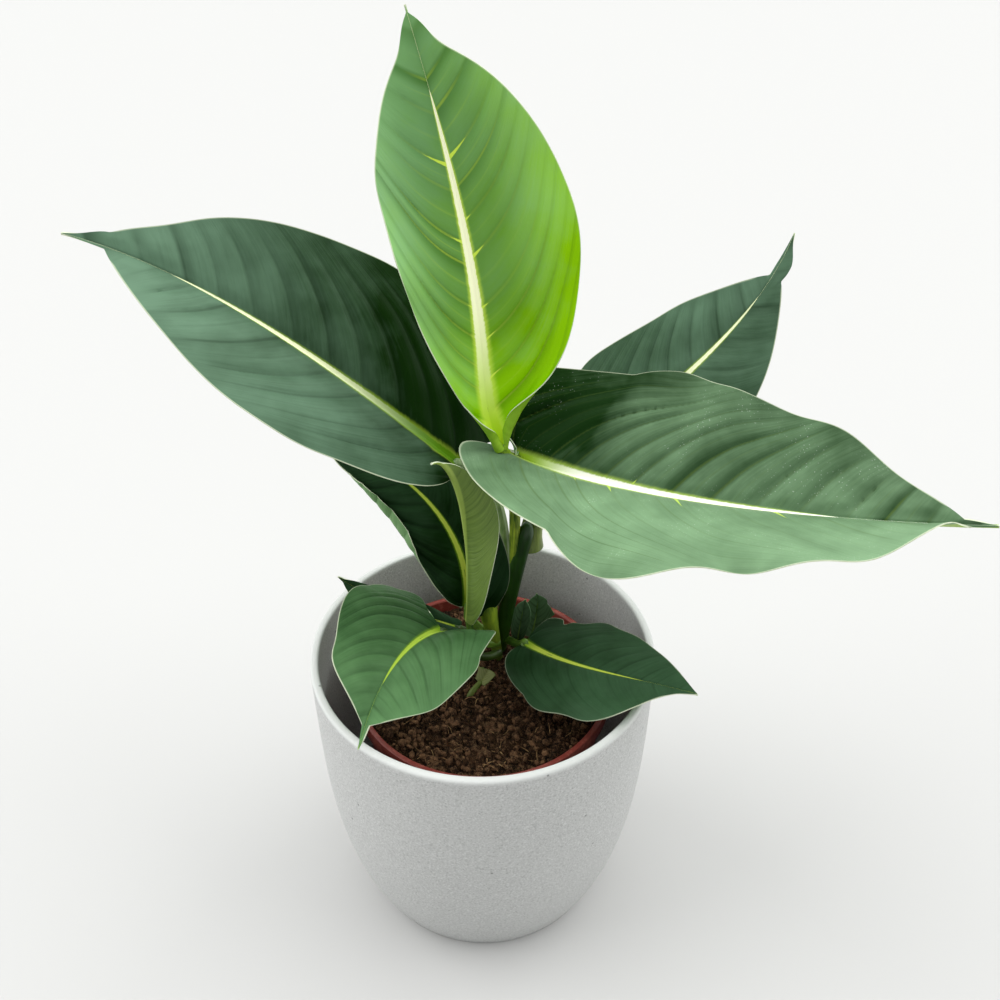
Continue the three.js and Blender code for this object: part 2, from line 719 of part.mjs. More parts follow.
/** The potting mix, which fills the nursery pot, before its holes for the stems. */
function pottingMix() {
  const bottom = NURSERY_BASE + NURSERY.floor + CLEARANCE;
  const inset = NURSERY.wall + CLEARANCE;
  const side = nurseryRadius(MIX.level) - inset;
  const profile = [[0, bottom], [nurseryRadius(bottom) - inset, bottom], [side, MIX.level]];
  for (let i = 1; i <= MIX.rings; i += 1) {
    profile.push([side * (1 - i / MIX.rings), MIX.level]);
  }
  const geometry = turned(profile, MIX.segments);
  const position = geometry.attributes.position;
  for (let k = 0; k < position.count; k += 1) {
    const [x, y] = [position.getX(k), position.getY(k)];
    const inside = Math.hypot(x, y) < side - MIX.edge;
    if (inside && Math.abs(position.getZ(k) - MIX.level) < 0.01) {
      position.setZ(k, mixHeight(x, y));
    }
  }
  return solidFrom(geometry);
}

// ---------------------------------------------------------------- canes

const CANES = [
  {
    name: 'cane_main',
    path: [[4, 21.5, 78], [5.5, 21, 108], [10.5, 20.5, 134], [16.6, 19.5, 166]],
    radius: [3.6, 3.2],
    flare: 1,
    point: 7,
    steps: 12,
    material: MATERIALS.cane,
  },
  {
    name: 'cane_left',
    path: [[8, 15.2, 76], [8.5, 14.8, 104], [2.2, 13.5, 120], [0.5, 20, 140]],
    radius: [1.2, 5.4],
    flare: 2.2,
    point: 8, // its sheath closes to a point, where the leaves leave it
    steps: 10,
    material: MATERIALS.sheath,
  },
];

/** A cane, or the cutter for its hole when it is grown by the clearance. */
function caneSolid(cane, grow = 0) {
  return taperedTube(bezier(cane.path), cane.radius, cane.steps, grow, cane.point, cane.flare);
}

// ---------------------------------------------------------------- assembly

const plant = new THREE.Group();
const caneCutters = CANES.map((cane) => caneSolid(cane, CLEARANCE));
const leaves = LEAVES.map((entry) => ({ ...LEAF_DEFAULTS, ...entry }));
const rootedCutters = leaves.filter((leaf) => leaf.rooted).map((leaf) => petioleSolid(leaf, CLEARANCE));

/** Cuts every one of a row of cutters out of a solid and keeps the largest body that is left. */
function cutAll(solid, cutters) {
  const rest = cutters.reduce((whole, cutter) => whole.subtract(cutter), solid);
  return rest.decompose().sort((a, b) => b.volume() - a.volume())[0];
}

addPiece(plant, 'cover_pot', coverPot(), MATERIALS.stoneware);
addPiece(plant, 'nursery_pot', nurseryPot(), MATERIALS.terracottaPlastic);
addPiece(plant, 'potting_mix', cutAll(pottingMix(), [...caneCutters, ...rootedCutters]), MATERIALS.coir);
for (const cane of CANES) {
  addPiece(plant, cane.name, caneSolid(cane), cane.material);
}
for (const leaf of leaves) {
  const nested = leaves.filter((other) => other.nestsIn === leaf.name);
  const cutters = [...caneCutters, ...nested.map((other) => petioleSolid(other, CLEARANCE))];
  const whole = bladeSolid(leaf).add(petioleSolid(leaf));
  addPiece(plant, leaf.name, cutAll(whole, cutters), leaf.material);
}

export default plant;
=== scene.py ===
"""The looks of a potted dieffenbachia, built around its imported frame.

Sizes and places are millimetres in the row frame: +Z up, the front of the plant towards -Y. They turn
to Blender's metres where a mesh is made.
"""

import logging
import math
from dataclasses import dataclass, field
from enum import Enum

import bpy
import numpy as np
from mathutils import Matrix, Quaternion, Vector, noise


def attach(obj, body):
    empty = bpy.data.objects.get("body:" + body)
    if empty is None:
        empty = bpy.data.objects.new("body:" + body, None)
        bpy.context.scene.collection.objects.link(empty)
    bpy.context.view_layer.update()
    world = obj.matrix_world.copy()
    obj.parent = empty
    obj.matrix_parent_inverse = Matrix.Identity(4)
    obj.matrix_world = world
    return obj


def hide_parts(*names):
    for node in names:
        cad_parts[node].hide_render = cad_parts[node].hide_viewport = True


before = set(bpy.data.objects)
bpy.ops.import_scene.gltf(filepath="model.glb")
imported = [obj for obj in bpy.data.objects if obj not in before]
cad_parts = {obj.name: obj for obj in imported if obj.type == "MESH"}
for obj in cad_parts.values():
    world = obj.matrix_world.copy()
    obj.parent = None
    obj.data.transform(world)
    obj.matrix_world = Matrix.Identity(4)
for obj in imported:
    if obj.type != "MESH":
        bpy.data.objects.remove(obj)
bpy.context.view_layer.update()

MM = 0.001
BODY = "root"
EASED = {"interpolation_type": "SMOOTHSTEP"}
RGBA = {"data_type": "RGBA"}
LOG = logging.getLogger("dieffenbachia")

Array = np.ndarray
Point = tuple[float, float, float]


class Face(Enum):
    """The material slots of a leaf, in the order in which Solidify hands them out."""

    UPPER = 0
    UNDERSIDE = 1
    MARGIN = 2
    PETIOLE = 3


# ---------------------------------------------------------------- small helpers


def linear(code: str) -> tuple[float, float, float, float]:
    """Turns an sRGB hex value into Blender's linear colour.

    Args:
        code: Six hex digits, with or without a leading hash.

    Returns:
        Red, green, blue and alpha.
    """
    digits = code.lstrip("#")
    channels = [int(digits[i:i + 2], 16) / 255 for i in (0, 2, 4)]
    flat = [c / 12.92 if c <= 0.04045 else ((c + 0.055) / 1.055) ** 2.4 for c in channels]
    return (*flat, 1.0)


def smooth(low: float, high: float, value: Array) -> Array:
    """An even step from 0 at low to 1 at high.

    Args:
        low: Where the step starts.
        high: Where it ends. It may be lower than low.
        value: What is measured.

    Returns:
        The step at each value.
    """
    share = np.clip((value - low) / (high - low), 0.0, 1.0)
    return share * share * (3 - 2 * share)


def unit(vectors: Array) -> Array:
    """Each row of an array at length 1."""
    return vectors / np.maximum(np.linalg.norm(vectors, axis=-1, keepdims=True), 1e-12)


def deselect() -> None:
    """Clears the selection, because an operator acts on all that is selected."""
    for thing in bpy.context.selected_objects:
        thing.select_set(False)


def select_only(thing: bpy.types.Object) -> None:
    """Makes one object the selected and active one.

    Args:
        thing: The object.
    """
    deselect()
    thing.select_set(True)
    bpy.context.view_layer.objects.active = thing


def read_places(thing: bpy.types.Object) -> Array:
    """The places of an object's vertices, in its own units, as rows.

    Args:
        thing: The object.

    Returns:
        One row of x, y and z for each vertex.
    """
    flat = np.empty(len(thing.data.vertices) * 3, np.float64)
    thing.data.vertices.foreach_get("co", flat)
    return flat.reshape(-1, 3)


def write_places(thing: bpy.types.Object, places: Array) -> None:
    """Moves an object's vertices to the places given as rows, in its own units."""
    thing.data.vertices.foreach_set("co", np.ascontiguousarray(places, np.float32).ravel())
    thing.data.update()


def store(thing: bpy.types.Object, name: str, values: Array) -> None:
    """Keeps a value or a vector for each vertex as a named attribute.

    Args:
        thing: The object.
        name: The attribute's name, which a material reads.
        values: One number, or one row of three numbers, for each vertex.
    """
    kind, key = ("FLOAT", "value") if values.ndim == 1 else ("FLOAT_VECTOR", "vector")
    layer = thing.data.attributes.new(name, kind, "POINT")
    layer.data.foreach_set(key, np.ascontiguousarray(values, np.float32).ravel())


def apply_modifier(thing: bpy.types.Object, kind: str, **settings: object) -> None:
    """Adds a modifier, sets its values and applies it.

    Args:
        thing: The object it works on.
        kind: Blender's name of the modifier's type.
        **settings: Its values by their names.
    """
    select_only(thing)
    modifier = thing.modifiers.new(kind.title(), kind)
    for name, value in settings.items():
        setattr(modifier, name, value)
    bpy.ops.object.modifier_apply(modifier=modifier.name)


def close_up(thing: bpy.types.Object, distance: float = 0.01) -> None:
    """Merges doubles and turns the faces outwards.

    Args:
        thing: The object.
        distance: How close two vertices are, in millimetres, to become one.
    """
    select_only(thing)
    bpy.ops.object.mode_set(mode="EDIT")
    bpy.ops.mesh.select_all(action="SELECT")
    bpy.ops.mesh.remove_doubles(threshold=distance * MM)
    bpy.ops.mesh.normals_make_consistent(inside=False)
    bpy.ops.object.mode_set(mode="OBJECT")


def shade(thing: bpy.types.Object, angle: float = 40.0) -> None:
    """Shades an object smooth, but for edges sharper than an angle in degrees."""
    select_only(thing)
    bpy.ops.object.shade_smooth_by_angle(angle=math.radians(angle))


def join(things: list[bpy.types.Object]) -> bpy.types.Object:
    """Joins several objects into the first one and gives it back.

    Args:
        things: The objects; the first one keeps its name and its materials.

    Returns:
        The joined object.
    """
    deselect()
    for thing in things:
        thing.select_set(True)
    bpy.context.view_layer.objects.active = things[0]
    bpy.ops.object.join()
    return things[0]


def place_piece(thing: bpy.types.Object, name: str, slot: str, *nodes: str) -> bpy.types.Object:
    """Names a finished piece, rides it on the body and hides the CAD nodes that it replaces.

    Args:
        thing: The piece.
        name: Its plain name.
        slot: The record's material slot, which is not used.
        *nodes: The CAD nodes that it replaces.

    Returns:
        The piece.
    """
    thing.name = thing.data.name = name
    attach(thing, BODY)
    if nodes:
        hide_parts(*nodes)
    LOG.info("%s: %d faces", name, len(thing.data.polygons))
    return thing


# ---------------------------------------------------------------- materials


@dataclass
class Recipe:
    """A node material while it is being put together."""

    name: str
    material: bpy.types.Material = field(init=False)

    def __post_init__(self) -> None:
        """Makes the material with nothing but its output."""
        self.material = bpy.data.materials.new(self.name)
        self.material.use_nodes = True
        self.material.node_tree.nodes.clear()

    def add(self, kind: str, inputs: dict | list | None = None, out: int = 0, **settings: object) -> object:
        """Adds one node with its settings and links.

        Args:
            kind: The node's type, without the leading ShaderNode.
            inputs: A socket to link, or a value to set, for each input by its name or number, or a
                row of them for the first inputs, such as a MapRange's value, from min, from max,
                to min and to max.
            out: Which of its outputs is wanted.
            **settings: The node's own values by their names.

        Returns:
            The wanted output, or the node itself where it has none.
        """
        tree = self.material.node_tree
        made = tree.nodes.new("ShaderNode" + kind)
        for name, value in settings.items():
            setattr(made, name, value)
        for key, value in inputs.items() if isinstance(inputs, dict) else enumerate(inputs or []):
            if isinstance(value, bpy.types.NodeSocket):
                tree.links.new(value, made.inputs[key])
            else:
                made.inputs[key].default_value = value
        return made.outputs[out] if made.outputs else made

    def finish(self, shader: object) -> bpy.types.Material:
        """Links the shader to the output and gives the material back."""
        self.add("OutputMaterial", {"Surface": shader})
        return self.material


@dataclass(frozen=True)
class LeafBlade:
    """Living leaf blade, as grown: a waxy cuticle over green tissue.

    The wax gives a satin gloss that greys the green towards the light; much of that grey sheen is painted
    into the fresh colour and the tone. Painted shade darkens the creases at the veins and the middle of
    the blade, and a painted glow stands in for the light through a thin blade. The cells between the fine
    veins give a faint grain along them.
    """

    name: str
    deep: str
    # the fresh green; on the dark blades it also holds painted sheen, the grey-green where a blade faces the
    # light
    fresh_and_sheen: str
    # the colour of painted shade, laid into the creases at the veins and the middle of the blade
    groove: str
    rib: str
    rib_edge: str
    rib_foot: str
    rib_fade: float = 9.0
    rim: float = 0.5
    roughness: float = 0.42
    vein_pale: float = 0.0
    # how much painted shade darkens the sunken side veins
    vein_crease_shade: float = 0.3
    vein_gap: float = 12.0
    mottle: float = 0.35
    streak: float = 0.3
    gloss: float = 0.07
    # how much painted shade darkens the dips beside the veins, on the left and on the right
    crease: tuple[float, float] = (0.5, 0.5)
    # how much painted shade darkens the middle of the blade near the midrib
    middle_shade: float = 0.0
    vein_rim: float = 7.0
    # how strongly the blade glows: painted light for the light that shines through it
    through: float = 0.0
    dust: float = 0.0

    def material(self) -> bpy.types.Material:
        """Builds the blade's material on the attributes "flow" and "paint".

        Flow holds the vein number, the signed distance from the midrib and the distance along it in
        millimetres. Paint holds the distance from the midrib in half widths of its pale band, the
        distance from the margin in millimetres, and the tone from deep to fresh, which carries painted
        sheen and painted shade as well as the blade's own colour.

        Returns:
            The material.
        """
        recipe = Recipe(self.name)
        add = recipe.add
        (vein, across, along), (rib, margin, tone) = (
            add("SeparateXYZ", [add("Attribute", {}, 1, attribute_name=name)]).node.outputs
            for name in ("flow", "paint"))
        out_from_rib = add("Math", [across], operation="ABSOLUTE")
        place = add("TexCoord", {}, 3)

        # fine cells between the veins, drawn out along them, about 1.2 mm apart
        grain_place = add("CombineXYZ", {
            0: add("Math", [vein, self.vein_gap / 1.2], operation="MULTIPLY"),
            1: add("Math", [across, 0.10], operation="MULTIPLY"),
        })
        grain = add("TexNoise", {"Vector": grain_place, "Scale": 1.0, "Detail": 3.0, "Roughness": 0.55})
        # broad clouds, about 16 mm across
        cloud = add("TexNoise", {"Vector": place, "Scale": 62.0, "Detail": 3.0, "Roughness": 0.5})
        # the grain of the cuticle, about 0.5 mm
        fine = add("TexNoise", {"Vector": place, "Scale": 1900.0, "Detail": 2.0, "Roughness": 0.6})

        # where a point lies between two side veins: 0 on a vein, 0.5 half way
        number = add("Math", [vein, 0.5], operation="ADD")
        whole = add("Math", [number], operation="FLOOR")
        behind = add("Math", [vein, whole], operation="SUBTRACT")
        offset = add("Math", [behind], operation="ABSOLUTE")
        side = add("Math", [across], operation="SIGN")
        seed = add("Math", [side, 37.3, whole], operation="MULTIPLY_ADD")
        chance = add("TexWhiteNoise", {"W": seed}, 0, noise_dimensions="1D")
        strength = add("Math", [chance, 0.8, 0.2], operation="MULTIPLY_ADD")
        vein_mm = add("Math", [offset, self.vein_gap], operation="MULTIPLY")
        line = add("MapRange", [vein_mm, 0.18, 0.75, 1.0, 0.0], **EASED)
        doubled = add("Math", [vein, 2.0], operation="MULTIPLY")
        half_number = add("Math", [doubled, 0.5], operation="ADD")
        half_whole = add("Math", [half_number], operation="FLOOR")
        half_off = add("Math", [doubled, half_whole], operation="SUBTRACT")
        half_off = add("Math", [half_off], operation="ABSOLUTE")
        half_mm = add("Math", [half_off, self.vein_gap / 2], operation="MULTIPLY")
        half_line = add("MapRange", [half_mm, 0.1, 0.6, 0.45, 0.0], **EASED)
        veins = add("Math", [line, half_line], operation="MAXIMUM")
        inside = add("MapRange", [margin, 0.6, self.vein_rim], **EASED)
        for factor in (inside, strength):
            veins = add("Math", [veins, factor], operation="MULTIPLY")

        # the green, from deep to fresh: the tone and its patches carry painted sheen and painted shade as
        # well as the blade's own colour
        drift = add("Math", [cloud, 0.5], operation="SUBTRACT")
        drift = add("Math", [drift, self.mottle * 2.2, tone], operation="MULTIPLY_ADD")
        comb = add("Math", [grain, 0.5], operation="SUBTRACT")
        mixed = add("Math", [comb, self.streak, drift], operation="MULTIPLY_ADD", use_clamp=True)
        green = add("Mix", {0: mixed, 6: linear(self.deep), 7: linear(self.fresh_and_sheen)}, 2, **RGBA)
        # painted shade: the dip beside each side vein, on its base side, is darkened with the groove colour,
        # most near the midrib
        crease_shade = add("MapRange", [behind, -0.5, 0.0, 0.0, 1.0], **EASED)
        crest = add("MapRange", [behind, 0.0, 0.12, 1.0, 0.0])
        inner = add("MapRange", [out_from_rib, 4.0, 32.0, 1.0, 0.4])
        left, right = self.crease
        crease = add("Math", [side, (right - left) / 2, (right + left) / 2], operation="MULTIPLY_ADD")
        for factor in (crest, inner, strength, crease):
            crease_shade = add("Math", [crease_shade, factor], operation="MULTIPLY")
        # painted shade: near the midrib and past the base the blade is darkened with the groove colour,
        # fading towards the margins, for the shade of its cupping
        middle_shade = add("MapRange", [out_from_rib, 8.0, 34.0, self.middle_shade, 0.0], **EASED)
        past_base = add("MapRange", [along, 18.0, 55.0], **EASED)
        middle_shade = add("Math", [middle_shade, past_base], operation="MULTIPLY")
        # painted shade along the sunken side veins, in the groove colour
        vein_shade = add("Math", [veins, self.vein_crease_shade], operation="MULTIPLY")
        pale_share = add("Math", [veins, self.vein_pale], operation="MULTIPLY")
        pale_share = add("Math", [pale_share, inner], operation="MULTIPLY")

        # the pale midrib with its short spurs into the side veins
        ragged = add("Math", [grain, 0.5], operation="SUBTRACT")
        rib_rough = add("Math", [ragged, 0.5, rib], operation="MULTIPLY_ADD")
        band = add("MapRange", [rib_rough, 0.78, 1.12, 1.0, 0.0], **EASED)
        fringe = add("MapRange", [rib_rough, 0.9, 1.9, 1.0, 0.0], **EASED)
        reach = add("Attribute", {}, 2, attribute_name="spur")
        beyond = add("Math", {0: out_from_rib, 1: add("Math", [reach, 0.001], operation="MAXIMUM")},
                     operation="DIVIDE")
        thin = add("MapRange", [beyond, 0.1, 1.0, 0.85, -0.05])
        spur_edge = add("Math", [thin, vein_mm], operation="SUBTRACT")
        spur = add("MapRange", [spur_edge, 0.0, 0.2], **EASED)
        edge_mask = add("Math", [fringe, 0.75], operation="MULTIPLY")
        edge_mask = add("Math", [edge_mask, spur], operation="MAXIMUM")
        up_rib = add("MapRange", [along, 0.1 * self.rib_fade, self.rib_fade], **EASED)
        rib_colour = add("Mix", {0: up_rib, 6: linear(self.rib_foot), 7: linear(self.rib)}, 2, **RGBA)

        # the clear rim of the blade
        rim = add("MapRange", [margin, 0.05, 0.35, self.rim, 0.0], **EASED)

        # a little dust in specks of 0.4 mm
        specks = add("TexVoronoi", {"Vector": place, "Scale": 900.0}, 0)
        speck = add("MapRange", [specks, 0.08, 0.2, self.dust, 0.0])
        patch = add("MapRange", [cloud, 0.5, 0.64])
        speck = add("Math", [speck, patch], operation="MULTIPLY")

        # the layers of colour, from the lowest to the topmost
        groove, rib_edge = linear(self.groove), linear(self.rib_edge)
        for mask, colour in (
            (crease_shade, groove), (middle_shade, groove), (vein_shade, groove), (pale_share, rib_edge),
            (edge_mask, rib_edge), (band, rib_colour), (rim, linear("dfe8c8")), (speck, linear("dfe6df")),
        ):
            green = add("Mix", {0: mask, 6: green, 7: colour}, 2, **RGBA)

        dull = add("Math", [fine, 0.5], operation="SUBTRACT")
        rough = add("Math", [dull, 0.16, self.roughness], operation="MULTIPLY_ADD")
        relief = add("Math", [grain, 0.8], operation="MULTIPLY")
        relief = add("Math", [fine, 0.12, relief], operation="MULTIPLY_ADD")
        bump = add("Bump", {"Height": relief, "Distance": 0.00022, "Strength": 0.7})
        shader = add("BsdfPrincipled", {
            "Base Color": green, "Roughness": rough, "Normal": bump, "IOR": 1.45,
            "Specular IOR Level": self.gloss,
            # painted light: the blade glows with its own colour, standing in for the light that shines
            # through a thin young blade
            "Emission Color": green, "Emission Strength": self.through,
        })
        return recipe.finish(shader)


@dataclass(frozen=True)
class LeafUnderside:
    """Lower face of a living leaf: paler and duller, with the fine veins standing out."""

    name: str
    green: str
    pale: str
    rib: str
    rib_reach: float = 2.5
    roughness: float = 0.6

    def material(self) -> bpy.types.Material:
        """Builds the underside's material on the attribute "flow".

        Returns:
            The material.
        """
        recipe = Recipe(self.name)
        add = recipe.add
        vein, across, _ = add("SeparateXYZ", [add("Attribute", {}, 1, attribute_name="flow")]).node.outputs
        # fine veins 1 mm apart, drawn out along their run
        place = add("CombineXYZ", {
            0: add("Math", [vein, 11.0], operation="MULTIPLY"),
            1: add("Math", [across, 0.08], operation="MULTIPLY"),
        })
        stripes = add("TexNoise", {"Vector": place, "Scale": 1.0, "Detail": 2.0, "Roughness": 0.5})
        cloud = add("TexNoise", {"Vector": add("TexCoord", {}, 3), "Scale": 70.0, "Detail": 2.0})
        share = add("Math", [stripes, 0.9, -0.1], operation="MULTIPLY_ADD")
        share = add("Math", [cloud, 0.35, share], operation="MULTIPLY_ADD", use_clamp=True)
        colour = add("Mix", {0: share, 6: linear(self.green), 7: linear(self.pale)}, 2, **RGBA)
        out_from_rib = add("Math", [across], operation="ABSOLUTE")
        near_rib = add("MapRange", [out_from_rib, 0.5 * self.rib_reach, self.rib_reach, 0.9, 0.0], **EASED)
        colour = add("Mix", {0: near_rib, 6: colour, 7: linear(self.rib)}, 2, **RGBA)
        bump = add("Bump", {"Height": stripes, "Distance": 0.0003, "Strength": 0.8})
        shader = add("BsdfPrincipled", {
            "Base Color": colour, "Roughness": self.roughness, "Normal": bump, "IOR": 1.45,
        })
        return recipe.finish(shader)


@dataclass(frozen=True)
class FleshyStem:
    """Skin of a petiole or cane, as grown: smooth and satin, with fine streaks along it."""

    name: str
    dark: str
    light: str
    foot: str
    foot_height: float = 0.0
    roughness: float = 0.42
    streaks: float = 0.5

    def material(self) -> bpy.types.Material:
        """Builds the stem's material; its streaks run upwards, 0.8 mm apart.

        Returns:
            The material.
        """
        recipe = Recipe(self.name)
        add = recipe.add
        place = add("TexCoord", {}, 3)
        long_place = add("Mapping", {"Vector": place, "Scale": (1250.0, 1250.0, 60.0)})
        streak = add("TexNoise", {"Vector": long_place, "Scale": 1.0, "Detail": 3.0, "Roughness": 0.6})
        cloud = add("TexNoise", {"Vector": place, "Scale": 110.0, "Detail": 2.0})
        share = add("Math", [streak, self.streaks, -self.streaks / 2], operation="MULTIPLY_ADD")
        share = add("Math", [cloud, 1.1, share], operation="MULTIPLY_ADD", use_clamp=True)
        share = add("MapRange", [share, 0.3, 0.8])
        colour = add("Mix", {0: share, 6: linear(self.dark), 7: linear(self.light)}, 2, **RGBA)
        height = add("SeparateXYZ", {0: place}, 2)
        start, end = (self.foot_height + 22) * MM, (self.foot_height - 8) * MM
        low = add("MapRange", [height, start, end], **EASED)
        colour = add("Mix", {0: low, 6: colour, 7: linear(self.foot)}, 2, **RGBA)
        bump = add("Bump", {"Height": streak, "Distance": 0.0002, "Strength": 0.6})
        shader = add("BsdfPrincipled", {
            "Base Color": colour, "Roughness": self.roughness, "Normal": bump, "IOR": 1.45,
        })
        return recipe.finish(shader)


@dataclass(frozen=True)
class CastStoneware:
    """Unglazed light grey stoneware, slip cast: matt, with a dense grain of light and dark sand."""

    name: str = "cast_stoneware"
    body: str = "b4b5b3"
    sand_light: str = "c9cac8"
    sand_dark: str = "9fa09e"
    # the paler colour of the rim's top: painted light from above
    rim: str = "ced0cd"
    rim_height: float = 126.4
    roughness: float = 0.62

    def material(self) -> bpy.types.Material:
        """Builds the pot's material, with sand grains of 0.7 mm.

        Returns:
            The material.
        """
        recipe = Recipe(self.name)
        add = recipe.add
        place = add("TexCoord", {}, 3)
        sand = add("TexNoise", {"Vector": place, "Scale": 1300.0, "Detail": 2.0, "Roughness": 0.7})
        coarse = add("TexNoise", {"Vector": place, "Scale": 420.0, "Detail": 2.0, "Roughness": 0.6})
        cloud = add("TexNoise", {"Vector": place, "Scale": 18.0, "Detail": 3.0})
        light = add("MapRange", [sand, 0.5, 0.68], **EASED)
        dark = add("MapRange", [sand, 0.46, 0.3], **EASED)
        colour = add("Mix", {0: add("Math", [cloud, 0.35], operation="MULTIPLY"),
                             6: linear(self.body), 7: linear("c6c7c5")}, 2, **RGBA)
        # painted light: the top of the rim, where the light from above falls, is painted paler and shows
        # less of the sand
        height = add("SeparateXYZ", {"Vector": place}, 2)
        painted_rim_light = add("MapRange", [height, (self.rim_height - 1.6) * MM, self.rim_height * MM])
        # a few pin holes in the cast skin, 0.5 mm wide and about 12 mm apart
        pits = add("TexVoronoi", {"Vector": place, "Scale": 85.0}, 0)
        pit = add("MapRange", [pits, 0.03, 0.06, 0.8, 0.0])
        layers = ((light, self.sand_light), (dark, self.sand_dark), (painted_rim_light, self.rim), (pit, "6f706e"))
        for mask, code in layers:
            colour = add("Mix", {0: mask, 6: colour, 7: linear(code)}, 2, **RGBA)
        relief = add("Math", [coarse, 0.5, sand], operation="MULTIPLY_ADD")
        bump = add("Bump", {"Height": relief, "Distance": 0.00018, "Strength": 0.8})
        shader = add("BsdfPrincipled", {
            "Base Color": colour, "Roughness": self.roughness, "Normal": bump, "IOR": 1.5,
            "Specular IOR Level": 0.35,
        })
        return recipe.finish(shader)


@dataclass(frozen=True)
class MouldedPolypropylene:
    """Thin brick red polypropylene, injection moulded: an even satin, a little scuffed."""

    name: str = "moulded_polypropylene"
    colour: str = "7d3026"
    worn: str = "a35a4b"

    def material(self) -> bpy.types.Material:
        """Builds the grower's pot material, with scuffs 3 mm long.

        Returns:
            The material.
        """
        recipe = Recipe(self.name)
        add = recipe.add
        place = add("TexCoord", {}, 3)
        scuff = add("TexNoise", {"Vector": place, "Scale": 330.0, "Detail": 4.0, "Roughness": 0.7})
        share = add("MapRange", [scuff, 0.5, 0.75])
        colour = add("Mix", {0: share, 6: linear(self.colour), 7: linear(self.worn)}, 2, **RGBA)
        rough = add("Math", [scuff, 0.25, 0.38], operation="MULTIPLY_ADD")
        bump = add("Bump", {"Height": scuff, "Distance": 0.0001, "Strength": 0.5})
        shader = add("BsdfPrincipled", {
            "Base Color": colour, "Roughness": rough, "Normal": bump, "IOR": 1.49,
        })
        return recipe.finish(shader)


@dataclass(frozen=True)
class CoirMix:
    """Coir and peat potting mix, crumbled by hand: dull and fibrous, dark brown, with painted shade in the
    low places between the crumbs.
    """

    name: str
    dark: str
    brown: str
    tan: str = "b18a5f"

    def material(self) -> bpy.types.Material:
        """Builds the mix, with fibres 0.6 mm wide and tufts 3 mm across.

        Returns:
            The material.
        """
        recipe = Recipe(self.name)
        add = recipe.add
        place = add("TexCoord", {}, 3)
        tuft, fibre = (
            add("TexNoise", {
                "Vector": place, "Scale": scale, "Detail": detail, "Roughness": rough, "Distortion": bend,
            }) for scale, detail, rough, bend in ((330.0, 4.0, 0.65, 1.2), (1500.0, 3.0, 0.7, 2.0)))
        # the low places of the tufts, where the bump sinks, take the dark colour: partly the mix's own dark
        # brown, partly painted shade
        share = add("MapRange", [tuft, 0.38, 0.62], **EASED)
        colour = add("Mix", {0: share, 6: linear(self.dark), 7: linear(self.brown)}, 2, **RGBA)
        bright = add("MapRange", [fibre, 0.55, 0.75])
        colour = add("Mix", {0: bright, 6: colour, 7: linear(self.tan)}, 2, **RGBA)
        relief = add("Math", [tuft, 1.5, fibre], operation="MULTIPLY_ADD")
        bump = add("Bump", {"Height": relief, "Distance": 0.0008, "Strength": 1.0})
        shader = add("BsdfPrincipled", {
            "Base Color": colour, "Roughness": 0.95, "Normal": bump, "Specular IOR Level": 0.15,
        })
        return recipe.finish(shader)


@dataclass(frozen=True)
class DryFibre:
    """Dried plant fibre: matt and straw coloured, in tones that differ from strand to strand."""

    name: str
    dark: str
    light: str

    def material(self) -> bpy.types.Material:
        """Builds the fibre's material, with a change of tone every 4 mm.

        Returns:
            The material.
        """
        recipe = Recipe(self.name)
        add = recipe.add
        place = add("TexCoord", {}, 3)
        tone = add("TexNoise", {"Vector": place, "Scale": 240.0, "Detail": 3.0, "Roughness": 0.6})
        share = add("MapRange", [tone, 0.35, 0.65])
        colour = add("Mix", {0: share, 6: linear(self.dark), 7: linear(self.light)}, 2, **RGBA)
        bump = add("Bump", {"Height": tone, "Distance": 0.0004, "Strength": 0.8})
        shader = add("BsdfPrincipled", {
            "Base Color": colour, "Roughness": 0.85, "Normal": bump, "Specular IOR Level": 0.2,
        })
        return recipe.finish(shader)


# ---------------------------------------------------------------- pots


def ring_body(profile: list[tuple[float, float]], segments: int, name: str) -> bpy.types.Object:
    """A turned body, drawn out ring by ring from a circle.

    Args:
        profile: Radius and height of each ring in millimetres, from the middle of the base round to
            the middle of the floor.
        segments: How many sides it has.
        name: The object's name.

    Returns:
        The closed body.
    """
    radius, height = profile[0]
    deselect()
    bpy.ops.mesh.primitive_circle_add(vertices=segments, radius=radius * MM, location=(0, 0, 0))
    thing = bpy.context.object
    thing.name = name
    bpy.ops.object.mode_set(mode="EDIT")
    bpy.ops.mesh.select_all(action="SELECT")
    bpy.ops.transform.translate(value=(0, 0, height * MM))
    bpy.ops.mesh.edge_face_add()
    bpy.ops.mesh.poke()
    bpy.ops.object.mode_set(mode="OBJECT")
    # the vertices up to the newest ring's last one: the hub of the base comes after the first ring
    count = segments
    for radius_next, height_next in profile[1:]:
        select_ring(thing, count, segments)
        bpy.ops.object.mode_set(mode="EDIT")
        rise = (0, 0, (height_next - height) * MM)
        bpy.ops.mesh.extrude_region_move(TRANSFORM_OT_translate={"value": rise})
        scale = radius_next / radius
        bpy.ops.transform.resize(value=(scale, scale, 1), center_override=(0, 0, height_next * MM))
        bpy.ops.object.mode_set(mode="OBJECT")
        count = len(thing.data.vertices)
        radius, height = radius_next, height_next
    select_ring(thing, count, segments)
    bpy.ops.object.mode_set(mode="EDIT")
    bpy.ops.mesh.edge_face_add()
    bpy.ops.mesh.poke()
    bpy.ops.object.mode_set(mode="OBJECT")
    close_up(thing)
    return thing


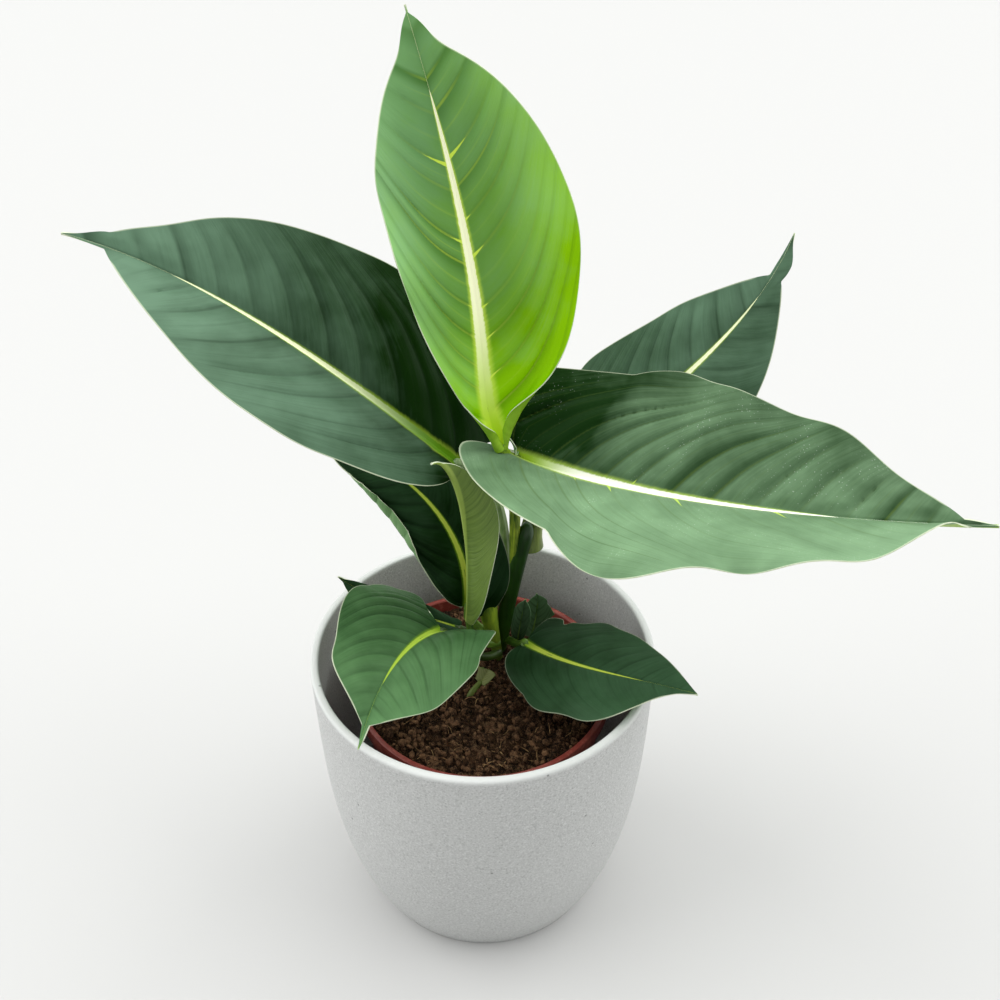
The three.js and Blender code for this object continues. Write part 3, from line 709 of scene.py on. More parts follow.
def select_ring(thing: bpy.types.Object, count: int, segments: int) -> None:
    """Selects the newest ring of a body, which is its last vertices, and nothing else.

    Args:
        thing: The body.
        count: How many vertices there are up to the ring's last one.
        segments: How many of them the ring has.
    """
    chosen = np.zeros(len(thing.data.vertices), bool)
    chosen[count - segments:count] = True
    thing.data.polygons.foreach_set("select", np.zeros(len(thing.data.polygons), bool))
    ends = np.empty(len(thing.data.edges) * 2, np.int32)
    thing.data.edges.foreach_get("vertices", ends)
    thing.data.edges.foreach_set("select", chosen[ends.reshape(-1, 2)].all(axis=1))
    thing.data.vertices.foreach_set("select", chosen)


@dataclass
class CoverPot:
    """The bulging cover pot of light grey stoneware."""

    height: float = 127.0
    rim_radius: float = 68.6
    base_radius: float = 52.7
    wall: float = 3.2
    floor: float = 6.0
    bulge: float = 3.6
    lip: float = 1.6
    fillet: float = 7.0
    foot_edge: float = 1.2
    levels: int = 44
    segments: int = 224

    def radius(self, height: float) -> float:
        """The outer radius at a height."""
        fall = (1 - height / self.height) ** self.bulge
        return self.base_radius + (self.rim_radius - self.base_radius) * (1 - fall)

    def profile(self) -> list[tuple[float, float]]:
        """Radius and height of each ring, from under the base round to the floor.

        Returns:
            The rings, in the order in which ring_body takes them.
        """
        top = self.height - self.lip
        rings = [(self.base_radius * 0.5, 0.0)]
        edge = self.foot_edge
        for step in range(4):
            angle = math.pi / 2 * step / 3
            rings.append((self.radius(edge) - edge * (1 - math.sin(angle)), edge * (1 - math.cos(angle))))
        for i in range(1, self.levels + 1):
            height = edge + (top - edge) * (i / self.levels) ** 1.25
            rings.append((self.radius(height), height))
        middle = self.rim_radius - self.wall / 2
        for k in range(1, 12):
            angle = math.pi * k / 12
            # a slightly flattened round, as a sponged rim has
            across = math.copysign(abs(math.cos(angle)) ** 0.75, math.cos(angle))
            rings.append((middle + self.wall / 2 * across, top + self.lip * math.sin(angle) ** 0.6))
        low = self.floor + self.fillet
        for i in range(self.levels, -1, -1):
            height = low + (top - low) * (i / self.levels) ** 1.25
            rings.append((self.radius(height) - self.wall, height))
        for k in range(1, 7):
            angle = math.pi / 2 * k / 6
            rings.append((self.radius(low) - self.wall - self.fillet * (1 - math.cos(angle)),
                          self.floor + self.fillet * (1 - math.sin(angle))))
        rings.append((self.base_radius * 0.4, self.floor))
        return rings

    def build(self) -> bpy.types.Object:
        """Turns the pot and dresses it.

        Returns:
            The piece.
        """
        pot = ring_body(self.profile(), self.segments, "stoneware_cover_pot")
        shade(pot, 50)
        pot.data.materials.append(CastStoneware().material())
        return place_piece(pot, "stoneware_cover_pot", "stoneware", "cover_pot")


@dataclass
class NurseryPot:
    """The thin grower's pot that stands in the cover pot."""

    rim_radius: float = 52.5
    base_radius: float = 38.0
    rim_height: float = 108.0
    base_height: float = 6.3
    wall: float = 1.1
    floor: float = 1.4
    lip_height: float = 7.0
    lip_step: float = 1.1
    edge: float = 0.4
    segments: int = 160
    drain_radius: float = 4.0
    drain_ring: float = 25.0
    drains: int = 5

    def radius(self, height: float) -> float:
        """The outer radius of the wall at a height, without the rim band."""
        share = (height - self.base_height) / (self.rim_height - self.base_height)
        return self.base_radius + (self.rim_radius - self.lip_step - self.base_radius) * share

    def build(self) -> bpy.types.Object:
        """Turns the pot, drills its drain holes and dresses it.

        Returns:
            The piece.
        """
        lip_foot = self.rim_height - self.lip_height
        inside = self.base_height + self.floor
        profile = [(self.base_radius * 0.5, self.base_height), (self.base_radius - 1, self.base_height),
                   (self.base_radius, self.base_height + 1)]
        profile += [(self.radius(h), h) for h in np.linspace(self.base_height + 6, lip_foot, 8)]
        profile += [
            (self.rim_radius - 0.3, lip_foot + 0.5), (self.rim_radius, lip_foot + 1.1),
            (self.rim_radius, self.rim_height - self.edge),
            (self.rim_radius - self.edge * 0.3, self.rim_height - self.edge * 0.3),
            (self.rim_radius - self.edge, self.rim_height),
            (self.radius(self.rim_height) - self.wall + self.edge, self.rim_height),
            (self.radius(self.rim_height) - self.wall, self.rim_height - self.edge),
        ]
        profile += [(self.radius(h) - self.wall, h) for h in np.linspace(lip_foot, inside + 2, 8)]
        profile += [(self.radius(inside) - self.wall - 1, inside), (self.base_radius * 0.5, inside)]
        pot = ring_body(profile, self.segments, "grower_pot")
        pot = self.drill(pot)
        shade(pot, 35)
        pot.data.materials.clear()
        pot.data.materials.append(MouldedPolypropylene().material())
        return place_piece(pot, "grower_pot", "nursery_plastic", "nursery_pot")

    def drill(self, pot: bpy.types.Object) -> bpy.types.Object:
        """Cuts the drain holes through the floor.

        Args:
            pot: The turned pot.

        Returns:
            The pot with its holes.
        """
        drills = []
        for k in range(self.drains):
            angle = 2 * math.pi * k / self.drains
            deselect()
            bpy.ops.mesh.primitive_cylinder_add(
                vertices=32, radius=self.drain_radius * MM, depth=4 * self.floor * MM,
                location=(self.drain_ring * math.cos(angle) * MM, self.drain_ring * math.sin(angle) * MM,
                          (self.base_height + self.floor) * MM))
            drills.append(bpy.context.object)
        cutter = join(drills)
        apply_modifier(pot, "BOOLEAN", operation="DIFFERENCE", object=cutter, solver="EXACT")
        bpy.data.objects.remove(cutter, do_unlink=True)
        return pot


# ---------------------------------------------------------------- potting mix


@dataclass
class PottingMix:
    """The coir mix that fills the grower's pot, with its crumbs and fibres."""

    level: float = 102.6
    crown: float = 2.2
    centre: tuple[float, float] = (7.0, 16.0)
    reach: float = 24.0
    bottom: float = 8.0
    side_low: float = 36.8
    side_high: float = 49.3
    cells: int = 210
    crumbs: int = 2300
    strands: int = 80
    seed: int = 11

    def height(self, places: Array) -> Array:
        """The lie of the surface at rows of x and y: a low crown, clods and crumbs.

        Args:
            places: Rows of x and y in millimetres.

        Returns:
            The height of each in millimetres.
        """
        x, y = places[:, 0], places[:, 1]
        distance = np.hypot(x - self.centre[0], y - self.centre[1])
        mound = self.crown * np.exp(-((distance / self.reach) ** 2))
        clods = np.sin(0.31 * x + 1.3) * np.cos(0.27 * y - 0.4) + 0.6 * np.sin(0.62 * x - 0.45 * y)
        rough = np.array([self.crumble(a, b) for a, b in zip(x, y)])
        edge = smooth(self.side_high, self.side_high - 3, np.hypot(x, y))
        return self.level + mound + 0.825 * clods * edge + rough * (0.35 + 0.65 * edge)

    @staticmethod
    def crumble(x: float, y: float) -> float:
        """The height that the lumps and crumbs add at one place.

        Args:
            x: Millimetres to the right.
            y: Millimetres to the back.

        Returns:
            The height in millimetres, which may be below 0.
        """
        lumps = noise.noise(Vector((x * 0.32, y * 0.32, 3.1)))
        small = noise.noise(Vector((x * 0.85, y * 0.85, 7.7)))
        fine = noise.noise(Vector((x * 1.9, y * 1.9, 1.3)))
        ridge = 1 - 2 * abs(small)
        return 2.0 * lumps + 1.0 * ridge + 0.6 * fine - 0.7

    def build(self) -> list[bpy.types.Object]:
        """Makes the mix, its loose crumbs and its pale fibres.

        Returns:
            The three pieces.
        """
        body = self.body()
        body.data.materials.append(CoirMix("damp_coir", dark="120a06", brown="46301f").material())
        place_piece(body, "coir_potting_mix", "potting_mix", "potting_mix")
        crumbs = self.loose_crumbs()
        finish = CoirMix("crumbled_coir", dark="301e12", brown="7e5d42", tan="cba97c")
        crumbs.data.materials.append(finish.material())
        place_piece(crumbs, "loose_crumbs", "potting_mix")
        strands = self.fibres()
        strands.data.materials.append(DryFibre("coir_fibre", "5f3a20", "c3a171").material())
        place_piece(strands, "coir_fibres", "potting_mix")
        return [body, crumbs, strands]

    def body(self) -> bpy.types.Object:
        """The body of the mix: a grid drawn into a disc, with its wall and bottom extruded.

        Returns:
            The closed body.
        """
        deselect()
        bpy.ops.mesh.primitive_grid_add(x_subdivisions=self.cells, y_subdivisions=self.cells, size=2)
        body = bpy.context.object
        u, v, _ = read_places(body).T
        x = u * np.sqrt(1 - v * v / 2)
        y = v * np.sqrt(1 - u * u / 2)
        flat = np.stack([x, y], axis=1) * self.side_high
        top = np.column_stack([flat, self.height(flat)])
        write_places(body, top * MM)
        select_only(body)
        bpy.ops.object.mode_set(mode="EDIT")
        bpy.ops.mesh.select_mode(type="EDGE")
        bpy.ops.mesh.select_all(action="SELECT")
        bpy.ops.mesh.region_to_loop()
        bpy.ops.mesh.extrude_region_move(TRANSFORM_OT_translate={"value": (0, 0, -4 * MM)})
        bpy.ops.mesh.extrude_region_move(TRANSFORM_OT_translate={"value": (0, 0, -MM)})
        bpy.ops.object.mode_set(mode="OBJECT")
        places = read_places(body)
        ring = np.array([vertex.select for vertex in body.data.vertices])
        places[ring, 2] = self.bottom * MM
        places[ring, :2] *= self.side_low / self.side_high
        write_places(body, places)
        bpy.ops.object.mode_set(mode="EDIT")
        bpy.ops.mesh.edge_face_add()
        bpy.ops.object.mode_set(mode="OBJECT")
        close_up(body)
        shade(body, 60)
        return body

    def loose_crumbs(self) -> bpy.types.Object:
        """Crumbs of 1 to 3 mm that lie half sunk in the surface, modelled once and copied.

        Returns:
            All the crumbs as one mesh.
        """
        random = np.random.default_rng(self.seed)
        deselect()
        bpy.ops.mesh.primitive_ico_sphere_add(subdivisions=2, radius=1.0)
        pattern = bpy.context.object
        shape = read_places(pattern)
        sides = np.array([list(face.vertices) for face in pattern.data.polygons])
        angle = random.uniform(0, 2 * math.pi, self.crumbs)
        radius = self.side_high * 0.97 * np.sqrt(random.uniform(0, 1, self.crumbs))
        flat = np.stack([radius * np.cos(angle), radius * np.sin(angle)], axis=1)
        level = self.height(flat)
        sizes = 0.4 + 1.3 * random.uniform(0, 1, self.crumbs) ** 2.4
        places, faces = [], []
        for k in range(self.crumbs):
            spin = np.array(Quaternion(unit(random.normal(size=4))).to_matrix())
            lump = shape * (sizes[k] * random.uniform(0.55, 1.35, 3))
            jitter = 1 + 0.35 * np.array([noise.noise(Vector(p) * 1.7 + Vector((k, 0, 0))) for p in shape])
            lump = (lump * jitter[:, None]) @ spin.T
            faces.append(sides + k * len(shape))
            places.append(lump + np.array([*flat[k], level[k] + 0.25 * sizes[k]]))
        mesh = bpy.data.meshes.new("loose_crumbs")
        mesh.from_pydata((np.concatenate(places) * MM).tolist(), [], np.concatenate(faces).tolist())
        pattern.data = mesh
        shade(pattern, 60)
        return pattern

    def fibres(self) -> bpy.types.Object:
        """Thin bent strands of coir that lie on the crumbs, as bevelled curves turned to one mesh.

        Returns:
            All the strands as one mesh.
        """
        random = np.random.default_rng(self.seed + 1)
        curve = bpy.data.curves.new("coir_fibres", "CURVE")
        curve.dimensions = "3D"
        curve.bevel_depth = 0.13 * MM
        curve.bevel_resolution = 1
        curve.resolution_u = 3
        curve.use_fill_caps = True
        steps = 5
        for _ in range(self.strands):
            angle = random.uniform(0, 2 * math.pi)
            radius = self.side_high * 0.93 * math.sqrt(random.uniform(0, 1))
            heading, length = random.uniform(0, 2 * math.pi), random.uniform(3, 9)
            spline = curve.splines.new("NURBS")
            spline.points.add(steps - 1)
            x, y = radius * math.cos(angle), radius * math.sin(angle)
            for i in range(steps):
                heading += random.uniform(-0.7, 0.7)
                x += length / steps * math.cos(heading)
                y += length / steps * math.sin(heading)
                reach = math.hypot(x, y)
                if reach > self.side_high - 1:
                    x, y = (c * (self.side_high - 1) / reach for c in (x, y))
                arch = random.uniform(0, 0.9) * math.sin(math.pi * i / (steps - 1))
                z = float(self.height(np.array([[x, y]]))[0]) + 0.3 + arch
                spline.points[i].co = (x * MM, y * MM, z * MM, 1)
                spline.points[i].radius = random.uniform(0.6, 1.3)
            spline.use_endpoint_u = True
        strands = bpy.data.objects.new("coir_fibres", curve)
        bpy.context.scene.collection.objects.link(strands)
        select_only(strands)
        bpy.ops.object.convert(target="MESH")
        strands = bpy.context.object
        shade(strands, 60)
        return strands


def bezier_points(controls: list[Point], count: int) -> Array:
    """Points along a cubic Bezier curve, even in its parameter.

    Args:
        controls: The curve's four control points.
        count: How many points are wanted.

    Returns:
        The points, as rows.
    """
    t = np.linspace(0, 1, count)[:, None]
    a, b, c, d = (np.array(p, float) for p in controls)
    return (1 - t) ** 3 * a + 3 * (1 - t) ** 2 * t * b + 3 * (1 - t) * t * t * c + t ** 3 * d


def distances(points: Array) -> Array:
    """How far along a line each of its points lies."""
    return np.concatenate([[0], np.cumsum(np.linalg.norm(np.diff(points, axis=0), axis=1))])


def even_points(points: Array, count: int) -> Array:
    """The same line with its points at even distances.

    Args:
        points: The line's points, as rows.
        count: How many points are wanted.

    Returns:
        The points, as rows.
    """
    reach = distances(points)
    wanted = np.linspace(0, reach[-1], count)
    return np.stack([np.interp(wanted, reach, points[:, k]) for k in range(3)], axis=1)


def tube(line: Array, radii: Array, sides: int, name: str, channel: Array | None = None,
         channel_side: Array | None = None) -> bpy.types.Object:
    """A closed tube along a line, shaped from a cylinder's rings.

    Args:
        line: The middle line, as rows in millimetres.
        radii: The radius at each point of it.
        sides: How many sides it has.
        name: The object's name.
        channel: How deep a groove runs along one side, as a share of the radius at each point.
        channel_side: The direction that the groove faces.

    Returns:
        The tube.
    """
    count = len(line)
    ahead = unit(np.gradient(line, axis=0))
    up = np.array([0.3, -0.9, 0.3]) if channel_side is None else channel_side
    first = unit(up - ahead * (ahead @ up)[:, None])
    second = np.cross(ahead, first)
    angle = 2 * math.pi * np.arange(sides) / sides
    depth = np.zeros(count) if channel is None else channel
    notch = np.exp(-((np.minimum(angle, 2 * math.pi - angle) / 0.6) ** 2))
    radius = radii[:, None] * (1 - depth[:, None] * notch[None, :])
    cos, sin = (turn(angle)[None, :, None] for turn in (np.cos, np.sin))
    rings = line[:, None, :] + radius[..., None] * (cos * first[:, None, :] + sin * second[:, None, :])
    deselect()
    bpy.ops.mesh.primitive_cylinder_add(vertices=sides, radius=1, depth=1, end_fill_type="TRIFAN")
    thing = bpy.context.object
    thing.name = name
    places = np.concatenate([rings.reshape(-1, 3), line[:1], line[-1:]]) * MM
    faces = []
    for i in range(count - 1):
        for k in range(sides):
            a, b = i * sides + k, i * sides + (k + 1) % sides
            faces.append((a, b, b + sides, a + sides))
    low, high = count * sides, count * sides + 1
    last = (count - 1) * sides
    for k in range(sides):
        faces.append((low, (k + 1) % sides, k))
        faces.append((high, last + k, last + (k + 1) % sides))
    mesh = bpy.data.meshes.new(name)
    mesh.from_pydata(places.tolist(), [], faces)
    thing.data = mesh
    close_up(thing, 0.001)
    return thing


@dataclass
class Cane:
    """A cane, or a stem that its sheath still wraps, with a tip that tapers to a point."""

    name: str
    node: str
    slot: str
    path: list[Point]
    radius: tuple[float, float]
    finish: FleshyStem
    point: float
    flare: float = 1.0
    steps: int = 120
    point_steps: int = 24
    sides: int = 40

    def build(self) -> bpy.types.Object:
        """Makes the cane and dresses it.

        Returns:
            The piece.
        """
        line = even_points(bezier_points(self.path, 300), self.steps)
        share = np.linspace(0, 1, self.steps)
        radii = self.radius[0] + (self.radius[1] - self.radius[0]) * share ** self.flare
        ahead = unit(line[-1] - line[-2])
        tip = line[-1] + np.linspace(0, self.point, self.point_steps)[1:, None] * ahead
        taper = np.sqrt(np.clip(1 - np.linspace(0, 1, self.point_steps)[1:] ** 2, 0, 1)) * radii[-1]
        line = np.concatenate([line, tip])
        radii = np.concatenate([radii, np.maximum(taper, 0.05)])
        cane = tube(line, radii, self.sides, self.name)
        shade(cane, 60)
        cane.data.materials.append(self.finish.material())
        return place_piece(cane, self.name, self.slot, self.node)


# ---------------------------------------------------------------- leaves


@dataclass(frozen=True)
class Roll:
    """A stretch of a margin that rolls over.

    Side is 0 on the left and 1 on the right of the midrib, seen from the base on the upper face.
    Middle and width are shares of the leaf's length, start is a share of the half width, and the
    angle is in degrees, positive where it rolls up over the upper face.
    """

    side: int
    middle: float
    width: float
    start: float
    angle: float


@dataclass(frozen=True)
class Swell:
    """Where a margin stands further out than the plain outline, or further in.

    Side is 0 on the left and 1 on the right. Middle and width are shares of the leaf's length, and
    the amount is in millimetres.
    """

    side: int
    middle: float
    amount: float
    width: float = 0.1


@dataclass(frozen=True)
class Spur:
    """A pale barb of the midrib that runs out along a side vein.

    At is its distance from the blade's base and reach its length, both in millimetres.
    """

    side: int
    at: float
    reach: float


@dataclass(frozen=True)
class TintAndPaintedLight:
    """A part of the blade that is fresher in colour than the rest, or deeper where it is below 0: partly
    the leaf's own colour, partly painted sheen and painted shade.

    Side is 0 on the left and 1 on the right. Along and width are shares of the leaf's length, and
    across is a share of the half width.
    """

    side: int
    along: float
    across: float
    amount: float
    width: float = 0.25


@dataclass
class LeafForm:
    """The form of one leaf: its midrib, its outline and how it folds, curls and waves.

    Pairs hold the value for the left and for the right side, or for the base and for the tip.
    """

    name: str
    node: str
    slot: str
    spine: list[Point]
    face: list[Point]
    half_width: tuple[float, float]
    rise: tuple[float, float]
    fall: tuple[float, float]
    tail: float
    fold: tuple[float, float]
    curl: tuple[float, float]
    petiole: list[Point]
    petiole_radius: tuple[float, float] = (2.3, 1.7)
    lobe: tuple[float, float] = (0.0, 0.0)
    cup: tuple[float, float] = (0.0, 0.0)
    wave_height: tuple[float, float] = (0.9, 0.9)
    wave_count: float = 3.0
    wave_phase: tuple[float, float] = (0.0, 0.35)
    rolls: list[Roll] = field(default_factory=list)
    swells: list[Swell] = field(default_factory=list)
    spurs: list[Spur] = field(default_factory=list)
    rows: int = 210
    columns: int = 42
    skin: float = 0.5
    rib_depth: float = 1.7
    rib_band: tuple[float, float] = (2.2, 0.9)
    pale_end: float = 0.86
    vein_gap: float = 12.0
    vein_lean: tuple[float, float] = (0.7, 1.1)
    quilt: tuple[float, float] = (0.9, 0.9)
    dents: float = 0.7
    notch: float = 0.0
    foot: tuple[float, float] = (2.0, 2.0)
    tone: tuple[float, float, float] = (0.5, 0.0, 0.0)
    # patches of fresher or deeper green: partly the leaf's own colour, partly painted sheen and painted
    # shade
    tints_and_painted_light: list[TintAndPaintedLight] = field(default_factory=list)
    seed: int = 1


@dataclass
class Leaf:
    """Builds one leaf, blade and petiole, from its form and its finishes."""

    form: LeafForm
    upper: LeafBlade
    under: LeafUnderside
    stem: FleshyStem

    SPINE_POINTS = 600
    # shares of the leaf's length: how far the ribs sweep, and how far the lobes, the cup and the foot reach
    SWEEP = 0.12
    LOBE_REACH = 0.22
    CUP_REACH = 0.3
    FOOT_REACH = 0.1
    # millimetres: the half width of the tail, and how far the petiole runs on under the blade
    TAIL_HALF_WIDTH = 1.1
    RUN = 16.0
    # where the handle of the curve from the midrib to the margin lies, as shares of the way
    HANDLE_AHEAD = 0.21
    HANDLE_OUT = 0.52
    # how many side veins a side can have, and how near the midrib they fan out, in millimetres
    VEINS = 60
    FAN_REACH = 12.0
    STALK_STEPS = 110
    STALK_SIDES = 28

    def spine_frame(self, distance: Array) -> tuple[Array, Array, Array, Array]:
        """The leaf's frame at distances along the midrib.

        Args:
            distance: Distances in millimetres, of any shape.

        Returns:
            Place, direction, face normal and right side, each with a last axis of 3.
        """
        dense = bezier_points(self.form.spine, self.SPINE_POINTS)
        reach = distances(dense)
        share = np.clip(distance / reach[-1], 0, 1)
        place, heading = (
            np.stack([np.interp(share * reach[-1], reach, row[:, k]) for k in range(3)], axis=-1)
            for row in (dense, unit(np.gradient(dense, axis=0))))
        along = unit(heading)
        place = place + along * np.minimum(distance, 0)[..., None]
        at_base, at_tip = (unit(np.array(v, float)) for v in self.form.face)
        face = unit(at_base * (1 - share)[..., None] + at_tip * share[..., None])
        normal = unit(face - along * np.sum(face * along, axis=-1, keepdims=True))
        return place, along, normal, np.cross(along, normal)

    def length(self) -> float:
        """The length of the midrib in millimetres."""
        return float(distances(bezier_points(self.form.spine, self.SPINE_POINTS))[-1])

    def half_width(self, side: Array, q: Array) -> Array:
        """Half the width of the flat blade at q, from 0 at the base to 1 at the tip.

        Args:
            side: 0 on the left and 1 on the right of the midrib.
            q: From 0 at the base to 1 at the tip.

        Returns:
            The half width in millimetres.
        """
        form = self.form
        body = np.clip(q / (1 - form.tail), 0, 1)
        rise, fall = self.pair(side, form.rise), self.pair(side, form.fall)
        fullest = rise / (rise + fall)
        peak = fullest ** rise * (1 - fullest) ** fall
        wide = self.pair(side, form.half_width) * body ** rise * (1 - body) ** fall / peak
        ends = smooth(0.0, 0.08, q) * smooth(1.0, 0.9, q)
        for swell in form.swells:
            near = np.exp(-(((q - swell.middle) / swell.width) ** 2)) * (side == swell.side)
            wide = wide + swell.amount * near * ends
        foot = self.pair(side, form.foot) * np.maximum(1 - q / self.FOOT_REACH, 0)
        tip = self.TAIL_HALF_WIDTH * smooth(0.4, 0.8, q) * np.clip((1 - q) / 0.12, 0, 1) ** 0.6
        return np.maximum(wide, 0.0) + foot + tip

    def pair(self, side: Array, values: tuple[float, float]) -> Array:
        """The left or the right one of two values, for each point."""
        return np.where(side > 0, values[1], values[0])

    def surface(self, side: Array, s: Array, q: Array) -> dict[str, Array]:
        """The upper face of the blade.

        Args:
            side: 0 on the left and 1 on the right of the midrib.
            s: From 0 at the midrib to 1 at the margin.
            q: From 0 at the base to 1 at the tip.

        Returns:
            The places, and the numbers that the finishes read.
        """
        form, length = self.form, self.length()
        edge = self.half_width(side, q)
        swing = np.sin(math.pi * np.clip(q / self.LOBE_REACH, 0, 1))
        margin_x = length * q - self.pair(side, form.lobe) * length * swing
        rib_x = length * np.maximum(q - self.SWEEP * np.sin(math.pi * q), q * 0.25)
        middle_x = rib_x + (margin_x - rib_x) * self.HANDLE_AHEAD
        x = (1 - s) ** 2 * rib_x + 2 * (1 - s) * s * middle_x + s * s * margin_x + form.notch * s * s * q * q
        y = 2 * (1 - s) * s * edge * self.HANDLE_OUT + s * s * edge
        wide = self.pair(side, form.half_width)
        share = y / wide
        cup = self.pair(side, form.cup) * np.maximum(1 - q / self.CUP_REACH, 0) ** 2
        lift = np.radians(self.pair(side, form.fold) + self.pair(side, form.curl) * share * 0.5 + cup)
        phase = self.pair(side, form.wave_phase)
        ripple = np.sin(2 * math.pi * (form.wave_count * q + phase)) * np.sin(math.pi * q) ** 0.5
        wave = self.pair(side, form.wave_height) * s * s * ripple
        vein = self.vein_number(x, y, wide, side)
        relief = self.relief(vein, side, s, q, y) + self.dents(x, y, side, s, q)
        place, along, normal, right = self.spine_frame(x)
        sign = np.where(side > 0, 1.0, -1.0)
        up = y * np.sin(lift) + wave + relief
        out = right * (sign * y * np.cos(lift))[..., None] + normal * up[..., None]
        return {
            "place": place + out, "along": along, "normal": normal, "right": right, "sign": sign,
            "x": x, "y": y, "vein": vein, "rib": y / self.rib_band(q),
            "margin": np.maximum(edge - y, 0.0) + 0.8 * smooth(7.0, 1.0, edge),
            "tone": self.tone(side, share, q) + form.tone[2] * sign * share,
            "spur": self.spur_reach(vein, side),
        }

    def tone(self, side: Array, share: Array, q: Array) -> Array:
        """The tone of the green from deep to fresh: it runs evenly to the tip, but for the patches of the
        form, which hold painted sheen and painted shade as well as the leaf's own colour.

        Args:
            side: 0 on the left and 1 on the right of the midrib.
            share: How far out a point lies, as a share of the half width.
            q: From 0 at the base to 1 at the tip.

        Returns:
            The tone, 0 where it is deep and 1 where it is fresh.
        """
        tone = self.form.tone[0] + self.form.tone[1] * (q - 0.5) * 2
        for tint in self.form.tints_and_painted_light:
            near = ((q - tint.along) / tint.width) ** 2 + ((share - tint.across) / (2.5 * tint.width)) ** 2
            tone = tone + tint.amount * np.exp(-near) * (side == tint.side)
        return tone

    def vein_starts(self, side: int) -> Array:
        """Where the side veins of one side leave the midrib, in millimetres from the base.

        Their gaps vary by a third, and a vein that carries a spur leaves where the spur does.

        Args:
            side: 0 for the left and 1 for the right side.

        Returns:
            The distances, in rising order.
        """
        form = self.form
        random = np.random.default_rng(form.seed * 7 + side)
        gaps = form.vein_gap * random.uniform(0.7, 1.3, self.VEINS)
        starts = np.cumsum(gaps) - 22 * form.vein_gap
        for spur in form.spurs:
            if spur.side == side:
                starts[np.argmin(np.abs(starts - spur.at))] = spur.at
        return starts

    def vein_number(self, x: Array, y: Array, wide: Array, side: Array) -> Array:
        """Counts the side veins: whole numbers lie on them.

        A vein leaves the midrib at a slant and leans more and more towards the tip. Those of the base
        fan out from the place where the petiole meets the blade.

        Args:
            x: Millimetres from the base along the midrib.
            y: Millimetres out from the midrib.
            wide: The blade's half width in millimetres.
            side: 0 on the left and 1 on the right of the midrib.

        Returns:
            The vein number at each point.
        """
        slant, bend = self.form.vein_lean
        start = x - slant * y - bend * y ** 3 / wide ** 2
        fan = np.clip(y / self.FAN_REACH, 0.12, 1.0)
        start = np.where(start >= 0, start, start / fan)
        left, right = (np.interp(start, self.vein_starts(k), np.arange(float(self.VEINS))) for k in (0, 1))
        return np.where(side > 0, right, left)

    def spur_reach(self, vein: Array, side: Array) -> Array:
        """How far the midrib's spur reaches along the nearest side vein, in millimetres.

        Args:
            vein: The vein number at each point, as vein_number gives it.
            side: 0 on the left and 1 on the right of the midrib.

        Returns:
            The reach, which is 0 where no spur is near.
        """
        reach = np.zeros((2, self.VEINS + 1))
        for spur in self.form.spurs:
            reach[spur.side, np.argmin(np.abs(self.vein_starts(spur.side) - spur.at))] = spur.reach
        return reach[side.astype(int), np.round(vein).astype(int)]

    def dents(self, x: Array, y: Array, side: Array, s: Array, q: Array) -> Array:
        """Soft dents about 25 mm across, as a living blade has.

        Args:
            x: Millimetres from the base along the midrib.
            y: Millimetres out from the midrib.
            side: 0 on the left and 1 on the right of the midrib.
            s: From 0 at the midrib to 1 at the margin.
            q: From 0 at the base to 1 at the tip.

        Returns:
            How far the blade lies above its plain form, in millimetres.
        """
        across = np.where(side > 0, y, -y)
        lie = [noise.noise(Vector((a * 0.05, b * 0.07, self.form.seed))) for a, b in zip(x, across)]
        return self.form.dents * np.array(lie) * smooth(0.0, 0.3, s) * smooth(1.0, 0.85, q)

    def rib_band(self, q: Array) -> Array:
        """Half the width of the pale midrib, which runs out before the tip.

        Args:
            q: From 0 at the base to 1 at the tip.

        Returns:
            The half width in millimetres.
        """
        base, middle = self.form.rib_band
        body = middle + (base - middle) * (1 - q) ** 1.2
        taper = np.clip((self.form.pale_end - q) / self.form.pale_end, 0, 1) ** 0.6
        return np.maximum(body * taper, 0.02)

    def relief(self, vein: Array, side: Array, s: Array, q: Array, y: Array) -> Array:
        """How far the blade swells between its side veins and sinks along its midrib.

        Args:
            vein: The vein number at each point, as vein_number gives it.
            side: 0 on the left and 1 on the right of the midrib.
            s: From 0 at the midrib to 1 at the margin.
            q: From 0 at the base to 1 at the tip.
            y: Millimetres out from the midrib.

        Returns:
            How far the blade lies above its plain form, in millimetres.
        """
        random = np.random.default_rng(self.form.seed)
        strength = random.uniform(0.35, 1.2, 400)
        lower = np.floor(vein).astype(int)
        share = vein - lower
        nearest = lower + (share >= 0.5)
        crease = strength[(nearest + self.VEINS * side.astype(int)) % len(strength)]
        pillow = 1 - crease * (1 - np.sin(math.pi * share) ** 0.75)
        half = np.abs(np.sin(2 * math.pi * share)) ** 0.8 * 0.12
        fade = smooth(0.8, 5.0, y) * smooth(1.0, 0.55, s) * smooth(1.0, 0.85, q)
        swell = self.pair(side, self.form.quilt) * (pillow + half - 0.6) * fade
        band = self.rib_band(q)
        trough = -0.35 * np.exp(-((y / (band * 1.5 + 0.4)) ** 2))
        ridge = 0.22 * np.exp(-((y / (band * 0.8 + 0.1)) ** 2))
        return swell + (trough + ridge) * smooth(1.0, 0.9, q)

